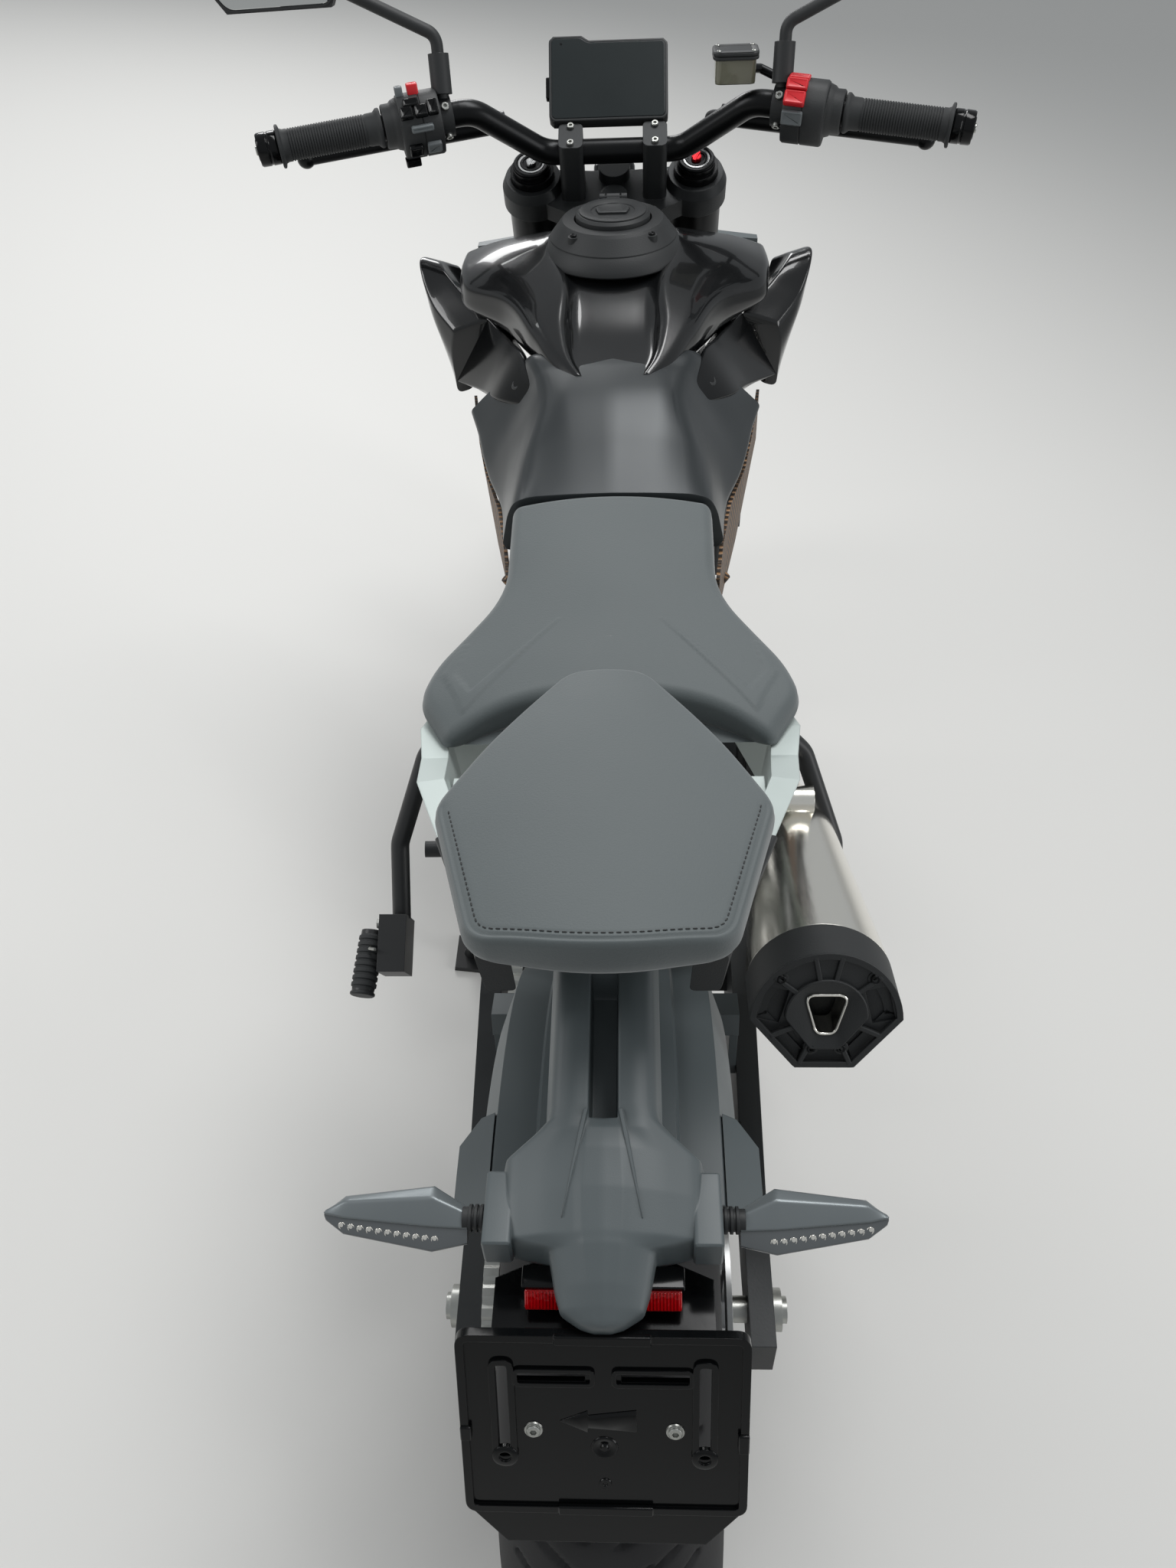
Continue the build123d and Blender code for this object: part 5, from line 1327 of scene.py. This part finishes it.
def makeCapFace():
    shell = evenly(onCapFace(silencerSection(*capDetail["shell"])), 110)
    bore = aroundMiddle(evenly(onCapFace(silencerSection(*capDetail["bore"])), 400), 96)
    middle = bore.mean(axis=0)
    mouth = middle + roundedRing(capDetail["mouth"], capDetail["mouthRounding"], 8, 4)
    outlet = aroundMiddle(evenly(mouth, 400), 96)

    def grown(line, share):
        return middle + (line - middle) * share

    rings = [atHeight(grown(bore, share), z) for share, z in capDetail["collar"]]
    rings += [atHeight(grown(outlet, share), z) for share, z in capDetail["funnel"]]
    parts = [frameRing(shell, 5.5, -1, 2.4), frameRing(grown(shell, 0.985), 14, -12.4, -4), loop(rings)]
    for turn in np.radians(capDetail["ribTurns"]):
        way = np.array([math.cos(turn), math.sin(turn)])
        near, far = reachAlong(rings[0][:, :2], middle, way) - 2, reachAlong(shell, middle, way) - 3
        rib = slab(rounded(far - near, capDetail["ribWidth"], 0.8, 2), capDetail["ribLevels"])
        spot = middle + way * (near + far) / 2
        parts.append(moved(rib, shifted(*spot, 0), Matrix.Rotation(turn, 4, "Z")))
    addParts("capRibs", [moved(part, capFace) for part in parts], sparkedPolypropylene, sharp=40)
    lip = tube(atHeight(outlet, 0.8), 1.3, 10, 2, closed=True)
    throat = grown(outlet, 0.98)
    lining = np.vstack([atHeight(throat, 0.8), atHeight(throat, -29)]), gridFaces(2, len(throat), False, True)
    addParts("outletLip", [moved(lip, capFace), moved(lining, capFace)], polishedStainless)
    places = [capFace @ shifted(*spot) for spot in capDetail["screwPlaces"]]
    screw, boss = socketScrew(*capDetail["screw"]), lathe(capDetail["boss"], 24)
    addParts("capScrews", [moved(screw, place) for place in places], anodisedBlack)
    addParts("capBosses", [moved(boss, place) for place in places], sparkedPolypropylene)


board = {
    "place": onAxis(here, (0, -199.9, 629.9), (0, -0.904, 0.427)),
    # width, height, corner radius, arc steps; rim width, low, high; x and y
    "rims": [
        ((195, 156, 10, 6), (5.6, -3.4, 3.8), (0, 0)),
        ((17, 88, 8, 6), (4.4, 1.3, 3.6), (-68, 13)), ((17, 88, 8, 6), (4.4, 1.3, 3.6), (68, 13)),
        ((55, 15, 5, 4), (3.2, 1.3, 3.4), (-33, 42)), ((55, 15, 5, 4), (3.2, 1.3, 3.4), (33, 42)),
    ],
    # width, height; x and y
    "bars": [((64, 7.5), (0, 75)), ((66, 7.5), (0, -74.5)), ((7.5, 16), (94, -12)), ((7.5, 12), (-94, -6))],
    "barLevels": [(0, 2), (0, 4.6), (0.8, 5.4)],
    "eyelet": [(4.4, 1.3), (9, 1.3), (9, 4.2), (7.8, 4.8), (4.4, 4.8)],
    "eyeletPlaces": [(-68, -26), (68, -26)],
    "hub": [(0, 1.4), (9.5, 1.4), (8.6, 2.6), (7.4, 2.6), (5, 1.7), (3, 1.7), (2, 3.2), (0, 3.2)],
    "hubPlace": (0, -19),
    "dimple": [(0, 1.4), (4.6, 1.4), (4, 2.4), (2, 2.4), (1.6, 1.7), (0, 1.7)],
    "dimplePlace": (0, -52),
    "arrow": [(-30, 4), (-11, 13), (-11, 9), (22, 14), (22, -5), (-11, -2), (-11, -6)],
    "arrowLevels": [(0, 1.3), (0, 1.9), (0.3, 2.1)],
    "screwPlaces": [(-48, -4), (48, -4)],
    "screw": (4.8, 4.6),
    "washer": [(0, 1.4), (6.6, 1.4), (6.2, 2.6), (0, 2.6)],
}


def onBoard(part, spot=(0, 0)):
    return moved(part, board["place"], shifted(*spot, 0))


def makeBoard():
    parts = [onBoard(frameRing(rounded(*outline), *rim), spot) for outline, rim, spot in board["rims"]]
    parts += [onBoard(slab(rounded(*size, 1.2, 2), board["barLevels"]), spot) for size, spot in board["bars"]]
    parts += [onBoard(lathe(board["eyelet"], 28, loop), spot) for spot in board["eyeletPlaces"]]
    parts.append(onBoard(lathe(board["hub"], 36), board["hubPlace"]))
    parts.append(onBoard(lathe(board["dimple"], 28), board["dimplePlace"]))
    arrow = roundedRing(board["arrow"], [0.6] * len(board["arrow"]), 2, 1)
    parts.append(onBoard(slab(arrow, board["arrowLevels"])))
    addParts("boardRim", parts, glossAbs, sharp=40)
    fixing = [socketScrew(*board["screw"]), lathe(board["washer"], 28)]
    screws = [onBoard(part, spot) for spot in board["screwPlaces"] for part in fixing]
    addParts("boardScrews", screws, zincPlate)


indicator = {
    # x, front, rear, top, waist, bottom
    "leaf": [(93.5, -88, -112, 721, 712, 706), (118, -75.5, -116, 728, 712, 702.5),
             (181, -80, -105, 721, 711, 704.5), (194, -89, -97, 716, 711, 708),
             (195, -91.5, -95, 714, 711.4, 709.6)],
    "ridgeShare": 0.32,
    "lensShare": 0.3,
    "beads": {"count": 11, "start": 116, "pitch": 6.6, "facing": (0, -0.75, 0.66)},
    "bead": [(0, -0.6), (2.3, -0.6), (2.6, 0.5), (1.5, 0.1), (0, 0.9)],
    "stalk": [(81.3, -97, 716), (97, -97, 716)],
    "stalkRadius": 7.6,
    "rings": {"count": 3, "start": 82.5, "pitch": 4},
    "ring": [(7.2, 0), (9.2, 0), (9.2, 2), (7.2, 2)],
}


def leafAt(x):  # front, rear, lens edge, top, waist, bottom
    front, rear, top, waist, bottom = [np.interp(x, [row[0] for row in indicator["leaf"]], column)
                                       for column in list(zip(*indicator["leaf"]))[1:]]
    return front, rear, rear - (rear - front) * indicator["lensShare"], top, waist, bottom


def leafCover(x):
    front, rear, edge, top, waist, bottom = leafAt(x)
    ridge = front + (rear - front) * indicator["ridgeShare"]
    return [(front, waist - 1), (front - 2.5, top - 3), (ridge, top), (edge, waist + 5.4),
            (edge, waist + 1.5), (edge + 2, waist - 1)], [2, 2, 2, 1, 1, 1]


def leafLens(x):
    front, rear, edge, top, waist, bottom = leafAt(x)
    return [(front - 1, waist), (front - 4, bottom), (rear + 1, bottom - 0.4), (rear - 0.6, bottom + 3),
            (edge + 0.4, waist + 3.6)], [1, 3, 2, 2, 1]


def leafPair(build):
    keys = [row[0] for row in indicator["leaf"]]
    rings = []
    for x in sorted(set(np.round(np.linspace(keys[0], keys[-1], 30), 2)) | set(keys)):
        rings.append(np.array([(x, y, z) for y, z in roundedRing(*build(x), 4, 1)]))
    return bothSides([stack(rings)])


def makeIndicators():
    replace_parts(addParts("indicatorCovers", leafPair(leafCover), leafGrey, sharp=50), "rear_indicators")
    addParts("indicatorLenses", leafPair(leafLens), smokedLens, sharp=50)
    beads = []
    for k in range(indicator["beads"]["count"]):
        x = indicator["beads"]["start"] + indicator["beads"]["pitch"] * k
        front, rear, edge, top, waist, bottom = leafAt(x)
        spot = (x, (edge + rear) / 2, (waist + 3.6 + bottom + 3) / 2 - 0.2)
        beads.append(moved(lathe(indicator["bead"], 10), onAxis(here, spot, indicator["beads"]["facing"])))
    stalks = [tube(indicator["stalk"], indicator["stalkRadius"], 24)]
    for k in range(indicator["rings"]["count"]):
        x = indicator["rings"]["start"] + indicator["rings"]["pitch"] * k
        spot = (x, *indicator["stalk"][0][1:])
        stalks.append(moved(lathe(indicator["ring"], 24, loop), onAxis(here, spot, (1, 0, 0))))
    addParts("indicatorLeds", bothSides(beads), polishedStainless)
    addParts("indicatorStalks", bothSides(stalks), sparkedPolypropylene)


tailLamp = {
    "place": onAxis(here, (0, -143, 694), (0, -0.78, 0.62)),
    # width, height, corner radius, arc steps
    "lens": (106, 15, 2, 3),
    "lensLevels": [(0, -9), (0, 0), (0.8, 0.8)],
    "rib": (1.3, 12.6, 0.4, 2),
    "ribLevels": [(0, 0), (0, 1.3), (0.3, 1.6)],
    "ribCount": 45,
    "ribPitch": 2.3,
    "hoodPlace": onAxis(here, (0, -134, 701.6), (0, -1, 0)),
    "hood": (110, 5, 1.2, 3),
    "hoodLevels": [(0.6, -10), (0, -9), (0, 4), (0.8, 5)],
}


def makeTailLamp():
    place = tailLamp["place"]
    parts = [moved(slab(rounded(*tailLamp["lens"]), tailLamp["lensLevels"]), place)]
    rib = slab(rounded(*tailLamp["rib"]), tailLamp["ribLevels"])
    for k in range(tailLamp["ribCount"]):
        x = tailLamp["ribPitch"] * (k - tailLamp["ribCount"] // 2)
        parts.append(moved(rib, place, shifted(x, 0, 0)))
    addParts("lampLens", parts, redLens)
    hood = slab(rounded(*tailLamp["hood"]), tailLamp["hoodLevels"])
    addParts("lampHood", [moved(hood, tailLamp["hoodPlace"])], glossAbs)


railCovers = {
    # dark trims over the ends of the subframe's rails: y, then (x, z) round the right one
    "sections": [
        (158, (101, 774), (123, 772), (134, 828), (107, 831.5)),
        (120, (90, 785), (111, 783.6), (120, 835), (94.5, 837.5)),
        (70, (74, 799), (95, 798), (101.5, 843.6), (77.5, 845.5)),
        (26, (61, 810), (83, 810), (87.5, 850.6), (63, 851.5)),
    ],
    "rounding": 5,
}


def makeRailCovers():
    rings = []
    for y, *corners in railCovers["sections"]:
        ring = roundedRing(corners, [railCovers["rounding"]] * 4, 4, 1)
        rings.append(np.array([(x, y, z) for x, z in ring]))
    addParts("railCovers", bothSides([stack(rings)]), sparkedPolypropylene, sharp=50)


filler = {
    "middle": (0, 1022, 0),
    "screwCircle": 65,
    "screwHeight": 989,
    "screw": (4.2, 2.6),
    # radius, height over the ground
    "skirt": [(60, 953), (86, 953), (88, 955), (87, 961), (79, 971.5), (76.6, 974), (60, 974)],
    "lidHeight": 1001.5,
    # radius, height over the lid
    "lidRing": [(26, 0), (40.4, 0), (40.4, 1.5), (39, 2.2), (31, 2.2), (29.6, 1.4), (27.4, 1.4), (26, 0.4)],
    "flap": [(-17, -13), (17, -13), (21, 5), (11, 17), (-11, 17), (-21, 5)],
    "flapLevels": [(0, -0.2), (0, 2.4), (1, 3.2), (4, 3.2), (4.6, 2.7)],
}


def makeFiller():
    middle = shifted(*filler["middle"])
    screws = []
    for turn in np.radians([135, 225, 315, 45]):
        spot = Vector((math.cos(turn), math.sin(turn), 0)) * filler["screwCircle"]
        place = shifted(spot.x, spot.y, filler["screwHeight"])
        screws.append(moved(socketScrew(*filler["screw"]), middle, place))
    addParts("fillerScrews", screws, anodisedBlack)
    skirt = addParts("fillerSkirt", [moved(lathe(filler["skirt"], 96, loop), middle)], sparkedPolypropylene)
    cutAway(skirt, *forkRoom)
    place = middle @ shifted(0, 0, filler["lidHeight"])
    flap = slab(roundedRing(filler["flap"], [3] * 6, 4, 1), filler["flapLevels"])
    addParts("lidFlap", [moved(lathe(filler["lidRing"], 64, loop), place), moved(flap, place)],
             sparkedPolypropylene, "fuel_lid", 40)


headlight = {
    # the front glass stands across y here, and its outlines are x, z
    "face": 1409.8,
    "glass": [(-60, 842), (-44, 784), (44, 784), (60, 842), (36, 874), (-36, 874)],
    "glassLevels": [(0.6, -1.6), (0.6, -0.4), (1.6, 0.4)],
    # x, z, radius
    "bowls": [(-27, 836, 15), (27, 836, 15), (-15, 803, 11), (15, 803, 11)],
    "bar": [(6, 866), (35, 866), (52, 842), (48, 840), (33, 860), (6, 860)],
    "barLevels": [(0, -3.9), (0, -2), (0.5, -1.8)],
}


def makeHeadlight():
    # mirrored, so that an outline's second number runs up
    place = onAxis(here, (0, headlight["face"], 0), (0, 1, 0)) @ Matrix.Scale(-1, 4, (0, 1, 0))
    glass = slab(roundedRing(headlight["glass"], [6] * 6, 5, 2), headlight["glassLevels"])
    addParts("headlightGlass", [moved(glass, place)], clearGlass, "steering")
    bowls = []
    for x, z, radius in headlight["bowls"]:
        profile = [(radius, -3.8), (radius, -1.9), (radius - 1.4, -1.9), (radius * 0.45, -3.3),
                   (radius * 0.4, -2.4), (0, -2)]
        bowls.append(moved(lathe(profile, 40), place, shifted(x, z, 0)))
    bars = []
    for side in (-1, 1):
        outline = roundedRing([(side * x, z) for x, z in headlight["bar"]], [1] * 6, 3, 1)
        bars.append(moved(slab(outline, headlight["barLevels"]), place))
    addParts("headlightBowls", bowls, polishedStainless, "steering")
    addParts("daylightBars", bars, clearLens, "steering")


# Plate carrier: a grooved spine that widens into a cowl with two arms and a pointed tip
carrier = {
    # y, then (x, z) of: groove floor middle, its edge, lip, crown, shoulder, edge, under edge
    "sections": [
        (112, (0, 792), (9, 792), (10.5, 792), (21, 793), (35, 789), (41, 764), (39, 757)),
        (66, (0, 782), (9, 782), (10.5, 782.5), (21, 783.5), (35, 779.5), (41, 753), (39, 747)),
        (60, (0, 752), (9, 752), (10.5, 780.5), (21, 782), (35, 778), (41, 752), (39, 746)),
        (-34, (0, 730), (9, 730), (10.5, 760), (23, 761.5), (36.5, 757), (42, 732), (40, 724)),
        (-42, (0, 755), (9, 756), (11, 757.5), (24, 759.5), (38, 755), (43, 729), (41, 722)),
        (-50, (0, 757), (10, 757), (13, 757), (27, 757.5), (47, 750), (53, 726), (51, 717)),
        (-64, (0, 756.5), (12, 756), (17, 755), (38, 750.5), (67, 740), (71.5, 716), (69, 709)),
        (-90, (0, 751.5), (14, 750.5), (20, 748.5), (39, 744.5), (67, 735), (71, 711), (68, 704)),
        (-117, (0, 744), (13, 742.5), (19, 740.5), (38, 737), (65.5, 728.5), (69, 707), (66, 701)),
        (-121, (0, 742.5), (12, 741), (17, 739), (30, 735.5), (50, 729), (53, 707), (50, 700)),
        (-124, (0, 741.5), (12, 740), (16, 738), (26, 734.5), (35, 729), (36.5, 707), (34, 700)),
        (-146, (0, 730.5), (9, 729), (13, 727.5), (22, 724), (31, 717.5), (32, 706), (30, 699)),
        (-158, (0, 723), (8, 721.5), (11, 720.5), (19, 718), (27, 713.5), (28, 706), (26, 700)),
        (-166, (0, 716.5), (4, 716), (6, 715.6), (10, 714), (14, 712), (15, 706), (14, 701)),
        (-168.4, (0, 713.6), (2, 713.4), (3, 713), (4, 712), (6, 711), (7, 706), (6, 702)),
    ],
    "rounding": [0, 1, 1.5, 7, 7, 4, 2],
    "armPlace": onAxis(here, (71, -97, 719), (0, 1, 0)),
    "arm": (20, 30, 3),
    "armLevels": [(1.4, -26), (0, -24.6), (0, 24.6), (1.4, 26)],
    # forward, up
    "neck": [(100, 762), (110, 818), (70, 818), (74, 762)],
    "neckLevels": [(1, -30), (0, -29), (0, 29), (1, 30)],
    # share of the ridge's run, half its width there
    "ridge": [(0, 2.4), (0.25, 2.6), (0.6, 1.6), (1, 0.3)],
}


def carrierShell():
    sections = sorted(carrier["sections"])
    keys = [section[0] for section in sections]
    table = np.array([wholeRing(corners, carrier["rounding"]) for y, *corners in sections])
    rings = []
    for y in sorted(set(np.round(np.linspace(keys[0], keys[-1], 150), 2)) | set(keys)):
        high = min(len(keys) - 1, max(1, int(np.searchsorted(keys, y))))
        share = (y - keys[high - 1]) / (keys[high] - keys[high - 1])
        ring = table[high - 1] + (table[high] - table[high - 1]) * share
        rings.append(np.column_stack([ring[:, 0], np.full(len(ring), y), ring[:, 1]]))
    eased = [(before + 2 * ring + after) / 4 for before, ring, after in zip(rings, rings[1:], rings[2:])]
    return stack([rings[0], *eased, rings[-1]])


def carrierRidge(side):  # runs outward and back over the cowl, sinking into it
    sections = sorted(carrier["sections"])
    rings = []
    for share, width in carrier["ridge"]:
        x, y = side * (12 + 15 * share), -38 - 70 * share
        lip = np.interp(y, [section[0] for section in sections], [section[3][1] for section in sections])
        foot, top = lip - 5, lip + 2.6 * (1 - share)
        rings.append(np.array([(x - width, y, foot), (x - width * 0.5, y, top), (x + width * 0.5, y, top),
                               (x + width, y, foot)]))
    return stack(rings)


def makeCarrier():
    arm = moved(slab(rounded(*carrier["arm"]), carrier["armLevels"]), carrier["armPlace"])
    neck = moved(slab(roundedRing(carrier["neck"], [4] * 4, 4, 1), carrier["neckLevels"]), sideways(0))
    parts = [carrierShell(), *bothSides([arm]), neck, carrierRidge(-1), carrierRidge(1)]
    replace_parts(addParts("carrierShell", parts, charcoalAbs, sharp=42), "plate_carrier")


engineCovers = {
    # side, face x, middle y, middle z, circle radius, bolts
    "circles": [(1, 173, 800, 378, 88, 9), (1, 164, 948, 396, 51, 6), (-1, 169, 930, 388, 79, 9),
                (-1, 149, 700, 400, 55, 5)],
    "bolt": (5.2, 4.5),
}


def makeEngineBolts():
    bolts = []
    for side, face, y, z, radius, count in engineCovers["circles"]:
        for k in range(count):
            angle = 2 * math.pi * (k + 0.3) / count
            spot = (side * (face - 0.5), y + radius * math.cos(angle), z + radius * math.sin(angle))
            bolts.append(moved(hexBolt(*engineCovers["bolt"]), onAxis(here, spot, (side, 0, 0))))
    addParts("coverBolts", bolts, zincPlate)


panelFastener = {
    "place": onAxis(here, (112, 845, 871), (0.62, -0.3, 0.72)),
    "profile": [(0, -2), (9, -2), (9, 1.6), (7.6, 2.6), (6, 2.6), (5, 0.8), (3, 0.8), (2.6, 2), (0, 2)],
}


def makeFasteners():
    fastener = moved(lathe(panelFastener["profile"], 32), panelFastener["place"])
    addParts("panelFasteners", bothSides([fastener]), sparkedPolypropylene)


peg = {
    "start": Vector((266, 332, 490)),
    "end": Vector((272, 268, 462)),
    "ribs": 8,
    "core": 11.8,
    "valley": 12.3,
    "radius": 13.6,
    "cap": [(0, 0), (12.4, 0), (13.4, 1), (13.4, 3), (12, 4), (0, 4)],
    "bolts": [(256, 306, 462), (256, 338, 496)],
    "clip": [(257, 300, 500), (264, 304, 496), (264, 336, 470), (257, 340, 466)],
}


def makePegDetail():
    start, end = peg["start"], peg["end"]
    way, length = (end - start).normalized(), (end - start).length
    profile = [(peg["core"], 4)]
    for k in range(peg["ribs"]):
        low = 6 + k * (length - 12) / peg["ribs"]
        profile += [(peg["valley"], low), (peg["radius"], low + 0.8), (peg["radius"], low + 4.4),
                    (peg["valley"], low + 5.2)]
    profile += [(peg["core"], length - 3)]
    sleeve = moved(lathe(profile, 28, loop), onAxis(here, start, way))
    cap = moved(lathe(peg["cap"], 28), onAxis(here, end - way * 3, way))
    addParts("pegRubbers", bothSides([sleeve]), gripRubber)
    addParts("pegEnds", bothSides([cap]), castAluminium)
    bolts = [moved(hexBolt(6, 5), onAxis(here, spot, (1, 0, 0))) for spot in peg["bolts"]]
    addParts("pegHardware", bothSides([*bolts, tube(peg["clip"], 1.8, 8)]), zincPlate)


makeCapFace()
makeCarrier()
makeBoard()
makeIndicators()
makeTailLamp()
makeRailCovers()
makeFiller()
makeHeadlight()
makeEngineBolts()
makeFasteners()
makePegDetail()
print("tail and body details made")


print("done")
